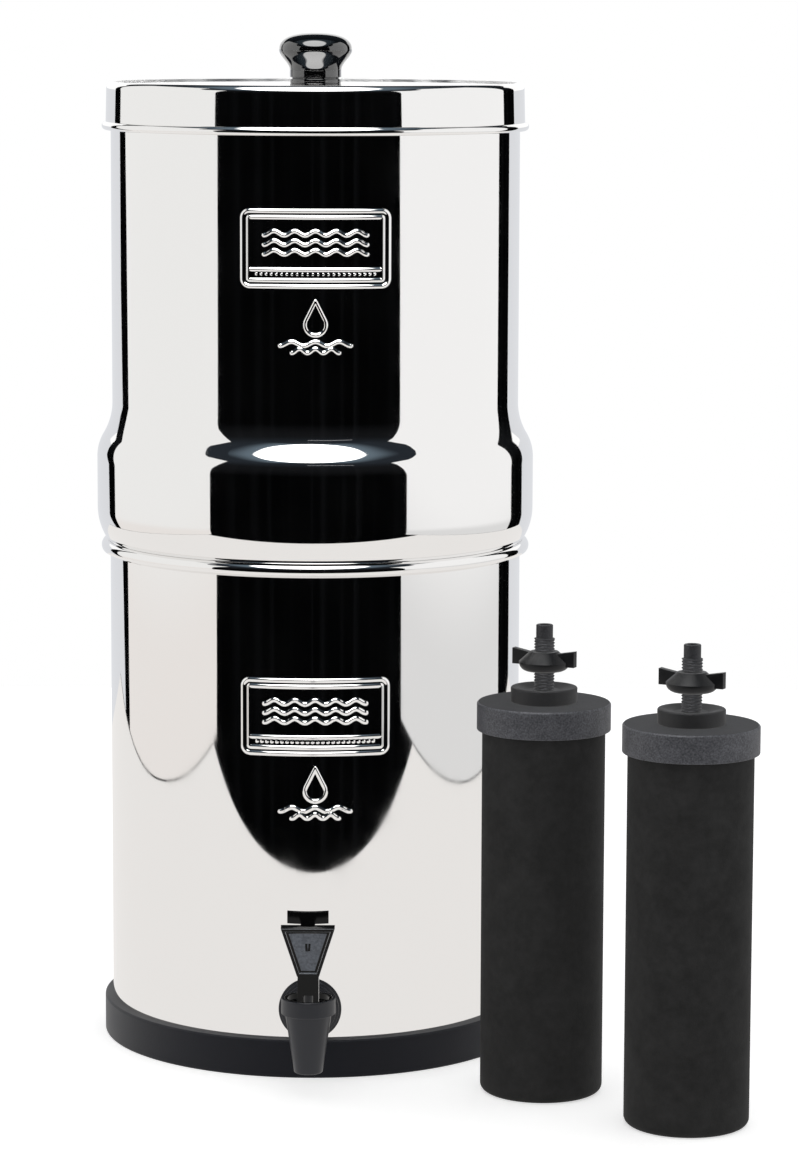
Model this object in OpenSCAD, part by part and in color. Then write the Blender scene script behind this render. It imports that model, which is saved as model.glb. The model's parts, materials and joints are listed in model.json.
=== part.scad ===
// Two-chamber gravity water filter with a lever tap, two filter elements fitted
// in the upper chamber and two standing beside it. Millimetres, +Z up. The origin
// is the centre of the base ring's underside, and the tap points towards -Y.

/* [Base ring] */
// Height of the rubber ring's wall above the table
base_h = 18.2; // [15:0.2:26]
// Thickness of the ledge that the chamber stands on
base_ledge_h = 5; // [3:0.5:8]
// Thickness of the ring's wall, outside the chamber
base_wall = 3.9; // [2.5:0.1:6]
// Width of the ledge, inwards from the chamber's wall
base_ledge_w = 15; // [8:1:30]
// Chamfer round the ring's top edge
base_chamfer = 0.8; // [0.5:0.1:2.4]

/* [Lower chamber] */
// Outer radius of the lower chamber's wall
lower_r = 100; // [90:0.5:115]
// Height of the lower chamber, from its underside to its rim
lower_h = 240; // [235:0.2:300]
// Thickness of the steel sheet of both chambers
sheet_t = 1; // [0.6:0.1:1.2]
// Radius of the rounded corner round each chamber's floor
corner_r = 3.4; // [2.6:0.1:8]
// Radius of the roll round the rim
rim_roll_r = 3.4; // [2.8:0.1:4]
// Height of the whole roll, down to its edge
rim_roll_h = 6.8; // [5.6:0.1:9]
// Width of the flat land on top of the rim
rim_land = 1.9; // [1.2:0.1:3]
// Gap between the roll's edge and the wall
rim_roll_gap = 0.4; // [0.3:0.1:0.8]

/* [Upper chamber] */
// Height of the upper chamber above the lower chamber's rim
upper_h = 219; // [212:0.2:280]
// Depth of the collar that sits in the lower chamber's mouth
collar_depth = 11.8; // [8:0.2:20]
// Gap between the collar and the lower chamber's wall
collar_clear = 0.4; // [0.3:0.05:1]
// How far the upper wall lies inside the line of the lower wall
upper_inset = 1.3; // [0.5:0.1:3]
// How far the bulge stands out beyond the upper wall
bulge_out = 7.45; // [6:0.05:12]
// Straight height of the bulge
bulge_h = 24.6; // [10:0.2:50]
// Height of the rounded shoulder under the bulge
shoulder_h = 15.4; // [10:0.2:18]
// Radius of the rounded shoulder under the bulge
shoulder_r = 28; // [28:1:60]
// Radius of the flare's curve next to the bulge
flare_low_r = 21; // [14:0.2:28]
// Radius of the flare's curve next to the upper wall
flare_top_r = 30; // [16:0.2:32]
// Radius of the bead round the upper chamber's rim
upper_bead_r = 1.5; // [1.2:0.1:2.2]
// How far that bead stands out beyond the wall
upper_bead_out = 1; // [0.6:0.1:1.1]
// Width of the flat land on top of that bead
upper_land = 1.1; // [0.6:0.1:1.8]

/* [Lid] */
// Thickness of the lid's sheet
lid_t = 0.9; // [0.6:0.1:1.2]
// Height of the lid, from its hem to its flat top
lid_h = 22.15; // [16:0.05:30]
// Gap between the lid and the bead round the upper rim
lid_clear = 0.3; // [0.3:0.05:1]
// Height of the crest round the lid's top
lid_crest = 0.7; // [0.6:0.1:1.6]
// Radius of the rounded edge round the lid's top
lid_corner_r = 3.2; // [1.2:0.1:3.3]
// Radius of the wired hem
hem_r = 1.95; // [1.5:0.05:2.6]
// How far the hem stands out beyond the skirt
hem_out = 1.9; // [1.6:0.1:2.8]

/* [Knob] */
// Largest radius of the knob
knob_r = 17.6; // [14:0.2:24]
// Radius of the knob's neck and of the ring under it
knob_neck_r = 12.4; // [8:0.2:13.5]
// Height of the knob above the ring under it
knob_h = 22.1; // [18:0.1:30]
// Height from the knob's widest place up to its top
knob_crown_h = 8.1; // [6:0.1:10]
// Length of the curve from the widest place down to the neck
knob_waist_h = 10; // [6:0.5:11]
// Height of the ring under the knob
knob_base_h = 2.3; // [1.5:0.1:4]
// Height of the groove between the knob and its ring
knob_groove_h = 0.7; // [0.4:0.1:1.2]
// Depth of that groove
knob_groove_d = 0.9; // [0.4:0.1:1.5]
// Radius of the knob's screw
knob_screw_r = 2; // [1.5:0.1:2.5]
// Length of the screw's thread inside the knob
knob_screw_in = 11; // [6:0.5:14]
// Radius of the screw's head
screw_head_r = 4; // [3.2:0.1:5]
// Height of the screw's head
screw_head_h = 2.4; // [1.8:0.1:3]
// Radius of the washer under the lid
knob_washer_r = 6; // [5.5:0.5:9]
// Thickness of the washer under the lid
knob_washer_t = 1; // [0.5:0.1:1.5]

/* [Embossed panels] */
// How far the embossed lines stand out of the wall
emboss_h = 0.6; // [0.3:0.1:1]
// Width of an embossed line
emboss_w = 1.3; // [0.8:0.1:1.8]
// Width of the panels
panel_w = 70; // [50:1:90]
// Height of the panels
panel_h = 36; // [26:1:44]
// Corner radius of the panels
panel_r = 4; // [3.5:0.5:7]
// Gap between a panel's two lines
panel_gap = 1.6; // [1:0.1:2.4]
// Height of the upper panel's centre above the lower chamber's rim
upper_panel_up = 146; // [110:0.2:170]
// Height of the lower panel's centre above the lower chamber's underside
lower_panel_up = 167.5; // [130:0.5:200]
// Distance from a panel's centre down to the centre of the drop under it
drop_down = 35; // [33:0.5:46]
// Radius of the round part of the drop
drop_r = 5.5; // [4:0.5:7]
// Height of the bar across a panel, above the panel's lower edge
panel_bar_up = 8.4; // [7:0.1:12]
// Width of the ripples in a panel
panel_ripple_w = 48; // [30:1:56]
// Distance between the ripples in a panel
panel_ripple_gap = 4.4; // [3:0.1:6]
// Height of a ripple, from its middle to its crest
ripple_a = 1; // [0.6:0.1:1.4]
// Turn of the panels round the chambers' axis, in degrees
panel_turn = 1.3; // [-10:0.1:10]

/* [Tap body] */
// Height of the tap's shank above the lower chamber's underside
tap_up = 29; // [29:0.2:60]
// Distance from the chamber's wall to the spout's axis
tap_reach = 36.4; // [30:0.2:50]
// Radius of the threaded shank through the wall
shank_r = 7.2; // [5.5:0.1:7.8]
// Length of the shank inside the chamber
shank_in = 15; // [14:0.5:25]
// Radius of the water passage in the shank
inlet_r = 4; // [2.5:0.1:4.5]
// Gap round the shank in the chamber's hole
shank_clear = 0.2; // [0.1:0.05:0.4]
// Radius of the flange against the wall
flange_r = 14.8; // [12.5:0.1:16]
// Thickness of the flange
flange_t = 3; // [2:0.2:4]
// Gap between the flange and the base ring
flange_clear = 0.3; // [0.3:0.05:1]
// Radius of the barrel between the flange and the spout
barrel_r = 9.5; // [7.5:0.1:10]
// Thickness of the gasket inside the chamber, at its thinnest
inner_gasket_t = 2.2; // [1.5:0.1:3]
// Radius of the gasket inside the chamber
inner_gasket_r = 12; // [10:0.5:14]
// Width of the nut inside the chamber, across its flats
nut_flats = 22; // [19:0.5:26]
// Thickness of the nut inside the chamber
shank_nut_t = 7; // [5:0.5:9]

/* [Spout] */
// Depth of the spout's outlet below the shank's axis
spout_drop = 22; // [18:0.2:26]
// Radius of the spout at its outlet
spout_tip_r = 6.95; // [6.2:0.05:8]
// Radius of the spout under its band
spout_top_r = 10.8; // [10:0.1:12]
// Radius of the band round the top of the spout
band_r = 12.55; // [12:0.05:14]
// Height of the band's lower edge above the shank's axis
band_up = 5.9; // [3:0.1:8]
// Height of the band
band_h = 7.5; // [6.8:0.1:10]
// Radius of the outlet's bore
outlet_r = 4.8; // [3:0.1:5.2]
// Radius of the valve's chamber
cavity_r = 8.2; // [7.8:0.1:8.8]
// Depth of the valve's seat below the shank's axis
seat_down = 7; // [5.5:0.1:9]
// Radius of the bonnet
bonnet_r = 11.2; // [10.6:0.1:11.6]
// Height of the bonnet, which is sunk into the band
bonnet_h = 5; // [4.5:0.1:6]
// Depth of the dish in the bonnet's top
bonnet_dish = 2.5; // [1.5:0.1:3]
// Radius of the dish in the bonnet's top
bonnet_dish_r = 9.6; // [8.8:0.1:10]
// Thickness of the bonnet's floor, which guides the stem
bonnet_floor_t = 2.5; // [2:0.1:3.5]
// Depth of the bonnet's spigot in the valve's chamber
spigot_h = 3; // [2:0.2:5]
// Wall of the bonnet's spigot
spigot_t = 1.8; // [1:0.1:2.5]

/* [Valve and lever] */
// Radius of the valve's stem
valve_stem_r = 2.1; // [1.8:0.1:2.4]
// Gap round every pin, stem and thread of the tap
running_clear = 0.05; // [0.02:0.01:0.1]
// Radius of the seat cup
seat_cup_r = 7.2; // [6:0.1:7.5]
// Height of the seat cup
seat_cup_h = 6; // [5:0.1:8]
// Radius of the barb that holds the seat cup on the stem
barb_r = 3.4; // [2.8:0.1:4]
// Radius of the lever's pin
lever_pin_r = 1; // [0.8:0.05:1.2]
// Height of the lever's pin above the bonnet's dish
cam_h = 5; // [4.5:0.1:7]
// Lift of the stem for each radian that the lever turns
cam_lift = 3.5; // [2.5:0.1:4.2]
// Gap between the lever's foot and the bonnet
cam_clear = 0.15; // [0.1:0.05:0.3]
// Furthest pull of the lever, in degrees
lever_pull = 35; // [20:1:40]
// Width of the lever's neck
neck_w = 9.7; // [9:0.1:12]
// Distance of the neck's back behind the pin
neck_back = 5; // [4.4:0.1:6]
// How far the neck's front lies behind the paddle's lower edge
neck_setback = 1.2; // [0.6:0.1:2]
// Length of the rib up the paddle's back
rib_l = 13; // [8:0.5:16]
// Gap on each side of the stem in the lever's slot
slot_clear = 0.25; // [0.2:0.05:0.5]
// Height of the paddle's lower edge above the lever's pin
paddle_up = 9.2; // [8:0.1:14]
// Distance of the paddle's lower front edge in front of the pin
paddle_front = 8.2; // [7.5:0.1:10]
// Length of the paddle
paddle_l = 24.3; // [18:0.1:30]
// Width of the paddle's lower edge
paddle_low_w = 10.2; // [9:0.1:14]
// Width of the paddle's upper edge
paddle_top_w = 24.8; // [18:0.2:32]
// Thickness of the paddle
paddle_t = 4.4; // [4:0.2:8]
// Forward lean of the paddle, in degrees
paddle_lean = 13; // [6:1:18]
// Width of the raised border round the paddle's face
paddle_rim = 1.5; // [1:0.1:2]
// Depth of the face inside the border
paddle_recess = 1.4; // [0.8:0.1:2]
// Gap between the border and the raised pad
pad_gap = 1.2; // [0.6:0.1:1.6]
// Height of the raised pad in the face
pad_h = 0.8; // [0.4:0.1:1.2]
// Width of the tab's bar behind the paddle
tab_w = 19; // [14:0.2:22]
// Height of the tab's bar
tab_h = 5.5; // [3:0.1:6]
// Thickness of the tab
tab_t = 2.6; // [2:0.1:3]
// Width of the tab's stem
tab_stem_w = 6.6; // [5:0.1:8]
// Height of the tab's top above the paddle's upper edge
tab_rise = 7.3; // [4:0.1:10]
// Radius of the bar's curve, seen from above
tab_curve_r = 30; // [20:1:60]

/* [Filter elements] */
// Length of a standing filter element, without its stem
element_l = 184; // [150:1:240]
// Space between the fitted elements and the lid's underside
head_room = 38.8; // [6:0.2:60]
// Radius of the carbon cylinder
carbon_r = 28.5; // [24:0.5:31]
// Rounding round the carbon cylinder's closed end
carbon_edge_r = 3.5; // [2:0.5:6]
// Radius of the hollow in the carbon cylinder
core_r = 6; // [5:0.5:9]
// Thickness of the carbon at its closed end
core_floor = 15; // [10:1:30]
// Thickness of the cap's rim round the carbon cylinder
cap_wall = 2.5; // [1.5:0.1:4]
// Height of the cap
cap_h = 13; // [9:0.5:20]
// Thickness of the cap's top
cap_top_t = 3; // [2:0.2:5]
// Chamfer round the cap's top edge
cap_chamfer = 0.8; // [0.4:0.1:1.2]
// Length of the cap's threaded stem
element_stem_l = 36; // [35:0.5:50]
// Radius of the stem's thread
element_stem_r = 4.8; // [4.5:0.05:6]
// Radius of the stem's smooth tip
tip_r = 3.9; // [3.6:0.05:4.4]
// Length of the stem's smooth tip
tip_l = 6.5; // [6:0.5:12]
// Radius of the passage through the stem
stem_bore_r = 2.4; // [1.5:0.1:2.8]
// Radius of the sealing washer
washer_r = 15.4; // [13:0.2:20]
// Thickness of the sealing washer
washer_t = 7; // [4:0.5:8]
// Depth of the dish in the washer's face
washer_dish = 1.6; // [0.8:0.1:2.2]
// Radius of the wing nut's hub, at its top
wing_hub_r = 6.5; // [6.2:0.1:9]
// Radius of the wing nut's foot
wing_foot_r = 8; // [6.2:0.1:9]
// Radius of the wing nut at its widest
wing_body_r = 11.8; // [9.5:0.1:13]
// Height of that widest place
wing_body_h = 4.2; // [3:0.1:5]
// Height of the wing nut's hub
wing_nut_h = 9; // [7:0.5:12]
// Span of the wing nut
wing_span = 31; // [26:0.5:38]
// Height of a wing
wing_h = 7.4; // [5:0.1:8]
// How far a wing's tip stands above the hub
wing_rise = 0.8; // [0:0.1:2]
// Thickness of a wing
wing_t = 3.6; // [3:0.1:6]
// Gap between a standing element's washer and its wing nut
wing_nut_gap = 7.5; // [4:0.5:9]
// Turn of the wing nuts, in degrees
wing_turn = -26; // [-45:1:45]

/* [Places] */
// Radius of the circle of holes in the upper chamber's floor
hole_circle_r = 52; // [48:0.5:54]
// Gap round an element's stem in the floor's hole
floor_hole_clear = 0.45; // [0.3:0.05:0.8]
// Radius of a blocking plug's head
plug_head_r = 9; // [8:0.5:12]
// Thickness of a blocking plug's head
plug_head_t = 3.5; // [2.5:0.5:5]
// Thickness of a blocking plug's lip under the floor
plug_lip_t = 4; // [2.5:0.5:6]
// Direction of the first standing element from the chambers' axis, in degrees
stand_angle = -48; // [-70:0.1:-30]
// Gap between the bulge and the first standing element
stand_gap = 24.9; // [10:0.05:60]
// Direction from the first standing element to the second, in degrees
pair_angle = -41.7; // [-70:0.1:0]
// Gap between the two standing elements
pair_gap = 23.9; // [5:0.1:60]

/* [Hidden] */

$fn = 96;
steel = [0.83, 0.84, 0.85];
black = [0.06, 0.06, 0.07];
rubber = [0.10, 0.10, 0.11];
carbon_black = [0.13, 0.13, 0.14];
speckled_grey = [0.25, 0.26, 0.29];
clear_silicone = [0.75, 0.75, 0.72];

// Heights of the chambers above the table
lower_z = base_ledge_h;
rim_z = lower_z + lower_h;
floor_under_z = rim_z - collar_depth;
floor_z = floor_under_z + sheet_t;
upper_rim_z = rim_z + upper_h;
lid_top_z = upper_rim_z + lid_t;
knob_ring_z = lid_top_z + knob_base_h;

// Radii of the chambers and the lid
collar_r = lower_r - sheet_t - collar_clear;
upper_r = lower_r - upper_inset;
bulge_r = upper_r + bulge_out;
lid_r = upper_r + upper_bead_out + lid_clear + lid_t;

// Heights of the upper chamber's outline
bulge_low_z = rim_z + shoulder_h;
bulge_top_z = bulge_low_z + bulge_h;
flare_curves = flare_low_r + flare_top_r;
flare_angle = acos(1 - bulge_out / flare_curves);
flare_h = flare_curves * sin(flare_angle);

// The tap's frame
tap_z = lower_z + tap_up;
spout_y = -(lower_r + tap_reach);
outer_gasket_t = base_wall + flange_clear;
outer_gasket_r = min(flange_r - 1.5, tap_z - base_h - flange_clear);
flange_y = -(lower_r + outer_gasket_t);
seat_z = tap_z - seat_down;
band_top_z = tap_z + band_up + band_h;
bonnet_z = band_top_z - bonnet_h;
dish_z = band_top_z - bonnet_dish;
pin_z = dish_z + cam_h;
bonnet_hole_r = valve_stem_r + running_clear;
max_lift = cam_lift * lever_pull * PI / 180;

// The filter elements
cap_r = carbon_r + cap_wall;
fitted_l = upper_rim_z - head_room - floor_z - washer_t;
nut_bore_r = element_stem_r + running_clear;
floor_hole_r = element_stem_r + floor_hole_clear;
fitted_z = floor_z + washer_t + fitted_l;
stand_a = (bulge_r + stand_gap + cap_r) * [cos(stand_angle), sin(stand_angle)];
stand_b = stand_a + (2 * cap_r + pair_gap) * [cos(pair_angle), sin(pair_angle)];
fitted_angles = [45, 225];
plug_angles = [135, 315];

// Points of an arc round [x, y], from one angle to the other
function arc(x, y, r, from, to, steps = 8) =
    [for (i = [0:steps]) let (a = from + (to - from) * i / steps) [x + r * cos(a), y + r * sin(a)]];

function reversed(points) = [for (i = [len(points) - 1:-1:0]) points[i]];

// ---------------------------------------------------------------- Base ring

module base_ring() {
    ring_r = lower_r + base_wall;
    foot_r = base_wall / 4;
    color(rubber)
    rotate_extrude()
    polygon(concat(
        [[lower_r - base_ledge_w, 0]],
        arc(ring_r - foot_r, foot_r, foot_r, -90, 0, 4),
        [[ring_r, base_h - base_chamfer],
         [ring_r - base_chamfer, base_h],
         [lower_r, base_h],
         [lower_r, base_ledge_h],
         [lower_r - base_ledge_w, base_ledge_h]]
    ));
}

// ---------------------------------------------------------------- Chambers

// Section of the roll round the lower chamber's rim, which is open at its lower edge
module rim_roll_section() {
    roll_x = lower_r - sheet_t + rim_land;
    roll_z = rim_z - rim_roll_r;
    edge = [lower_r + rim_roll_gap, rim_z - rim_roll_h];
    polygon(concat(
        [edge],
        arc(roll_x, roll_z, rim_roll_r, -35, 90, 12),
        [[lower_r - sheet_t, rim_z], [lower_r - sheet_t, roll_z], [lower_r, roll_z]],
        [[lower_r, rim_z - sheet_t]],
        arc(roll_x, roll_z, rim_roll_r - sheet_t, 90, -35, 12),
        [edge + [0, sheet_t]]
    ));
}

// Section of the lower chamber's wall and floor, up to the roll
module lower_wall_section() {
    inner_r = lower_r - sheet_t;
    inner_corner_r = corner_r - sheet_t;
    polygon(concat(
        [[0, lower_z]],
        arc(lower_r - corner_r, lower_z + corner_r, corner_r, -90, 0, 6),
        [[lower_r, rim_z - rim_roll_r], [inner_r, rim_z - rim_roll_r]],
        arc(lower_r - corner_r, lower_z + corner_r, inner_corner_r, 0, -90, 6),
        [[0, lower_z + sheet_t]]
    ));
}

module rounded_rectangle(w, h, r) {
    square([w - 2 * r, h], center = true);
    square([w, h - 2 * r], center = true);
    for (x = [-1, 1], y = [-1, 1])
        translate([x * (w / 2 - r), y * (h / 2 - r)])
        circle(r = r, $fn = 32);
}

module panel_line(inset) {
    difference() {
        rounded_rectangle(panel_w - 2 * inset, panel_h - 2 * inset, panel_r - inset);
        rounded_rectangle(panel_w - 2 * inset - 2 * emboss_w, panel_h - 2 * inset - 2 * emboss_w,
                          max(panel_r - inset - emboss_w, 0.4));
    }
}

// Points of a ripple with so many waves, eight points to a wave
function ripple(w, waves, y) =
    [for (i = [-4 * waves:4 * waves]) [w * i / (8 * waves), y + ripple_a * cos(45 * i)]];

module ripple_line(w, waves, y) {
    polygon(concat(ripple(w, waves, y - emboss_w / 2), reversed(ripple(w, waves, y + emboss_w / 2))));
}

// A water drop outline: a round foot, and two straight sides up to a point
module drop_shape(r) {
    tip = 2.1 * r;
    side = acos(r / tip);
    polygon(concat([[0, tip]], arc(0, 0, r, 90 + side, 450 - side, 24)));
}

module drop_motif() {
    difference() {
        drop_shape(drop_r);
        drop_shape(drop_r - emboss_w);
    }
    ripple_line(6 * drop_r, 3, -drop_r - 2.5 * emboss_w);
    ripple_line(4 * drop_r, 3, -drop_r - 5 * emboss_w);
}

// The lines inside a panel: a bar low down, and three ripples in the space over it
module panel_lines() {
    inset = emboss_w + panel_gap;
    inner_w = panel_w - 2 * inset;
    bar_y = panel_bar_up - panel_h / 2;
    middle_y = (bar_y + panel_h / 2 - inset) / 2;
    translate([0, bar_y])
    square([inner_w, emboss_w], center = true);
    for (row = [-1, 0, 1])
        ripple_line(panel_ripple_w, 5, middle_y + row * panel_ripple_gap);
}

// Embossed lines on the front of a wall of radius r, centred on height z
module embossed(r, z) {
    intersection() {
        translate([0, 0, z - panel_h / 2 - drop_down - 4 * drop_r])
        difference() {
            cylinder(h = panel_h + drop_down + 8 * drop_r, r = r + emboss_h, $fn = 180);
            translate([0, 0, -1])
            cylinder(h = panel_h + drop_down + 8 * drop_r + 2, r = r - sheet_t / 2, $fn = 180);
        }
        translate([0, 0, z])
        rotate([90, 0, panel_turn])
        linear_extrude(height = 2 * r)
        union() {
            panel_line(0);
            panel_line(emboss_w + panel_gap);
            panel_lines();
            translate([0, -drop_down])
            drop_motif();
        }
    }
}

module lower_chamber() {
    color(steel)
    difference() {
        union() {
            rotate_extrude($fn = 180)
            lower_wall_section();
            rotate_extrude($fn = 180)
            rim_roll_section();
            embossed(lower_r, lower_z + lower_panel_up);
        }
        translate([0, 0, tap_z])
        rotate([90, 0, 0])
        cylinder(h = lower_r + sheet_t, r = shank_r + shank_clear);
    }
}

// Skin of the upper chamber from the collar up to the bead, d inside its outer face
function upper_skin(d) = let (seat_angle = -asin((shoulder_h - d) / (shoulder_r - d)))
    concat(
        arc(collar_r - corner_r, floor_under_z + corner_r, corner_r - d, -90, 0, 6),
        [[collar_r - d, rim_z + d]],
        arc(bulge_r - shoulder_r, bulge_low_z, shoulder_r - d, seat_angle, 0, 10),
        arc(bulge_r - flare_low_r, bulge_top_z, flare_low_r - d, 0, flare_angle, 8),
        arc(upper_r + flare_top_r, bulge_top_z + flare_h, flare_top_r + d, 180 + flare_angle, 180, 8)
    );

module upper_section() {
    bead_x = upper_r + upper_bead_out - upper_bead_r;
    land_angle = acos(upper_land / 2 / upper_bead_r);
    bead_z = upper_rim_z - upper_bead_r * sin(land_angle);
    outer_angle = acos((upper_r - bead_x) / upper_bead_r);
    inner_angle = acos((upper_r - sheet_t - bead_x) / upper_bead_r);
    polygon(concat(
        [[0, floor_under_z]],
        upper_skin(0),
        arc(bead_x, bead_z, upper_bead_r, -outer_angle, land_angle, 8),
        arc(bead_x, bead_z, upper_bead_r, 180 - land_angle, 360 - inner_angle, 8),
        reversed(upper_skin(sheet_t)),
        [[0, floor_z]]
    ));
}

module at_floor_hole(angle) {
    translate([hole_circle_r * cos(angle), hole_circle_r * sin(angle), 0])
    children();
}

module upper_chamber() {
    color(steel)
    difference() {
        union() {
            rotate_extrude($fn = 180)
            upper_section();
            embossed(upper_r, rim_z + upper_panel_up);
        }
        for (angle = concat(fitted_angles, plug_angles))
            at_floor_hole(angle)
            translate([0, 0, floor_under_z - 1])
            cylinder(h = sheet_t + 2, r = floor_hole_r, $fn = 48);
    }
}

module blocking_plugs() {
    color(rubber)
    for (angle = plug_angles)
        at_floor_hole(angle) {
            translate([0, 0, floor_z])
            cylinder(h = plug_head_t, r = plug_head_r, $fn = 48);
            translate([0, 0, floor_under_z])
            cylinder(h = sheet_t, r = floor_hole_r, $fn = 48);
            translate([0, 0, floor_under_z - plug_lip_t])
            cylinder(h = plug_lip_t, r1 = 0.8 * floor_hole_r, r2 = 1.25 * floor_hole_r, $fn = 48);
        }
}

// ---------------------------------------------------------------- Lid and knob

// Skin of the lid from the centre of its top to the foot of its skirt, d inside its outer face
function lid_skin(d) = let (
        crest_x = lid_r - lid_corner_r,
        crest_z = lid_top_z + lid_crest - lid_corner_r)
    concat(
        [[crest_x - 2 * lid_crest, lid_top_z - d], [crest_x - 0.6 * lid_crest, lid_top_z + lid_crest - d]],
        arc(crest_x, crest_z, lid_corner_r - d, 90, 0, 6)
    );

module lid() {
    hem_z = lid_top_z - lid_h + hem_r;
    hem_x = lid_r + hem_out - hem_r;
    outer_angle = acos((lid_r - hem_x) / hem_r);
    inner_angle = acos(max(lid_r - lid_t - hem_x, -hem_r) / hem_r);
    color(steel)
    difference() {
        rotate_extrude($fn = 180)
        polygon(concat(
            [[0, lid_top_z]],
            lid_skin(0),
            arc(hem_x, hem_z, hem_r, outer_angle, -inner_angle, 20),
            reversed(lid_skin(lid_t)),
            [[0, lid_top_z - lid_t]]
        ));
        translate([0, 0, upper_rim_z - 1])
        cylinder(h = lid_t + 2, r = knob_screw_r + running_clear, $fn = 48);
    }
}

module knob_ring() {
    color(black)
    translate([0, 0, lid_top_z])
    difference() {
        cylinder(h = knob_base_h, r = knob_neck_r);
        translate([0, 0, -1])
        cylinder(h = knob_base_h + 2, r = knob_screw_r + running_clear, $fn = 48);
    }
}

module lid_knob() {
    top_z = knob_ring_z + knob_h;
    wide_z = top_z - knob_crown_h;
    // A squarer curve than an ellipse, up to the flat spot on the crown
    crown = [for (i = [0:12]) let (a = 82 * i / 12)
        [knob_r * pow(cos(a), 0.83), wide_z + knob_crown_h * pow(sin(a), 0.83)]];
    waist = [for (i = [10:-1:1])
        [knob_neck_r + (knob_r - knob_neck_r) * (1 + cos(18 * i)) / 2, wide_z - knob_waist_h * i / 10]];
    color(black)
    difference() {
        rotate_extrude()
        polygon(concat(
            [[0, knob_ring_z], [knob_neck_r - knob_groove_d, knob_ring_z],
             [knob_neck_r - knob_groove_d, knob_ring_z + knob_groove_h],
             [knob_neck_r, knob_ring_z + knob_groove_h]],
            waist, crown,
            [[0, top_z]]
        ));
        translate([0, 0, knob_ring_z - 1])
        cylinder(h = knob_screw_in + 2, r = knob_screw_r + running_clear, $fn = 48);
    }
}

module knob_screw() {
    head_top_z = upper_rim_z - knob_washer_t;
    cross_l = 1.4 * screw_head_r;
    cross_w = 0.25 * screw_head_r;
    color(steel)
    difference() {
        union() {
            translate([0, 0, head_top_z - screw_head_h])
            cylinder(h = screw_head_h, r = screw_head_r, $fn = 48);
            translate([0, 0, head_top_z])
            cylinder(h = knob_ring_z + knob_screw_in - head_top_z, r = knob_screw_r, $fn = 48);
        }
        for (angle = [0, 90])
            rotate([0, 0, angle])
            translate([-cross_l / 2, -cross_w / 2, head_top_z - screw_head_h - 1])
            cube([cross_l, cross_w, 1 + screw_head_h / 2]);
    }
}

module knob_washer() {
    color(steel)
    translate([0, 0, upper_rim_z - knob_washer_t])
    difference() {
        cylinder(h = knob_washer_t, r = knob_washer_r, $fn = 64);
        translate([0, 0, -1])
        cylinder(h = knob_washer_t + 2, r = knob_screw_r + running_clear, $fn = 48);
    }
}

// ---------------------------------------------------------------- Tap

// Children along +Z point out of the chamber, from the distance y before its axis
module along_tap(y) {
    translate([0, y, tap_z])
    rotate([90, 0, 0])
    children();
}

module tap_outer_gasket() {
    color(rubber)
    difference() {
        along_tap(-(lower_r - sheet_t))
        cylinder(h = outer_gasket_t + sheet_t, r = outer_gasket_r, $fn = 64);
        along_tap(0)
        cylinder(h = 2 * lower_r, r = shank_r + shank_clear, $fn = 64);
        cylinder(h = 2 * tap_z, r = lower_r, $fn = 180);
    }
}

module tap_inner_gasket() {
    color(rubber)
    intersection() {
        difference() {
            along_tap(inner_gasket_y)
            cylinder(h = 2 * inner_gasket_t + sheet_t, r = inner_gasket_r, $fn = 64);
            along_tap(0)
            cylinder(h = lower_r, r = shank_r + shank_clear, $fn = 64);
        }
        cylinder(h = 2 * tap_z, r = lower_r - sheet_t, $fn = 180);
    }
}

// The gasket's flat face, which the nut bears on, allowing for the wall's curve at its edge
inner_gasket_y = -(sqrt(pow(lower_r - sheet_t, 2) - pow(inner_gasket_r, 2)) - inner_gasket_t);

module tap_nut() {
    color(black)
    along_tap(inner_gasket_y + shank_nut_t)
    difference() {
        cylinder(h = shank_nut_t, r = nut_flats / 2 / cos(30), $fn = 6);
        translate([0, 0, -1])
        cylinder(h = shank_nut_t + 2, r = shank_r + running_clear, $fn = 64);
    }
}

module spout_outline() {
    rotate_extrude()
    polygon(concat(
        [[0, tap_z - spout_drop], [spout_tip_r - 0.8, tap_z - spout_drop]],
        [[spout_tip_r, tap_z - spout_drop + 1.2],
         [spout_top_r, tap_z + band_up], [band_r, tap_z + band_up],
         [band_r, band_top_z], [0, band_top_z]]
    ));
}

module tap_body() {
    color(black)
    difference() {
        union() {
            along_tap(-(lower_r - sheet_t - shank_in))
            cylinder(h = sheet_t + shank_in + outer_gasket_t, r = shank_r, $fn = 64);
            along_tap(flange_y)
            cylinder(h = flange_t, r = flange_r);
            along_tap(flange_y)
            cylinder(h = -spout_y + flange_y, r = barrel_r);
            translate([0, spout_y, 0])
            spout_outline();
        }
        along_tap(0)
        cylinder(h = -spout_y, r = inlet_r, $fn = 48);
        translate([0, spout_y, seat_z])
        cylinder(h = band_top_z - seat_z + 1, r = cavity_r);
        translate([0, spout_y, bonnet_z])
        cylinder(h = bonnet_h + 1, r = bonnet_r + running_clear);
        translate([0, spout_y, tap_z - spout_drop - 1])
        cylinder(h = seat_z - tap_z + spout_drop + 2, r = outlet_r);
    }
}

module tap_bonnet() {
    color(black)
    translate([0, spout_y, bonnet_z])
    difference() {
        union() {
            cylinder(h = bonnet_h, r = bonnet_r);
            translate([0, 0, -spigot_h])
            cylinder(h = spigot_h, r = cavity_r - running_clear);
        }
        translate([0, 0, bonnet_h - bonnet_dish])
        cylinder(h = bonnet_dish + 1, r = bonnet_dish_r);
        translate([0, 0, -spigot_h - 1])
        cylinder(h = spigot_h + 1 + bonnet_h - bonnet_dish - bonnet_floor_t, r = cavity_r - spigot_t);
        translate([0, 0, -1])
        cylinder(h = bonnet_h + 2, r = bonnet_hole_r, $fn = 48);
    }
}

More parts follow.
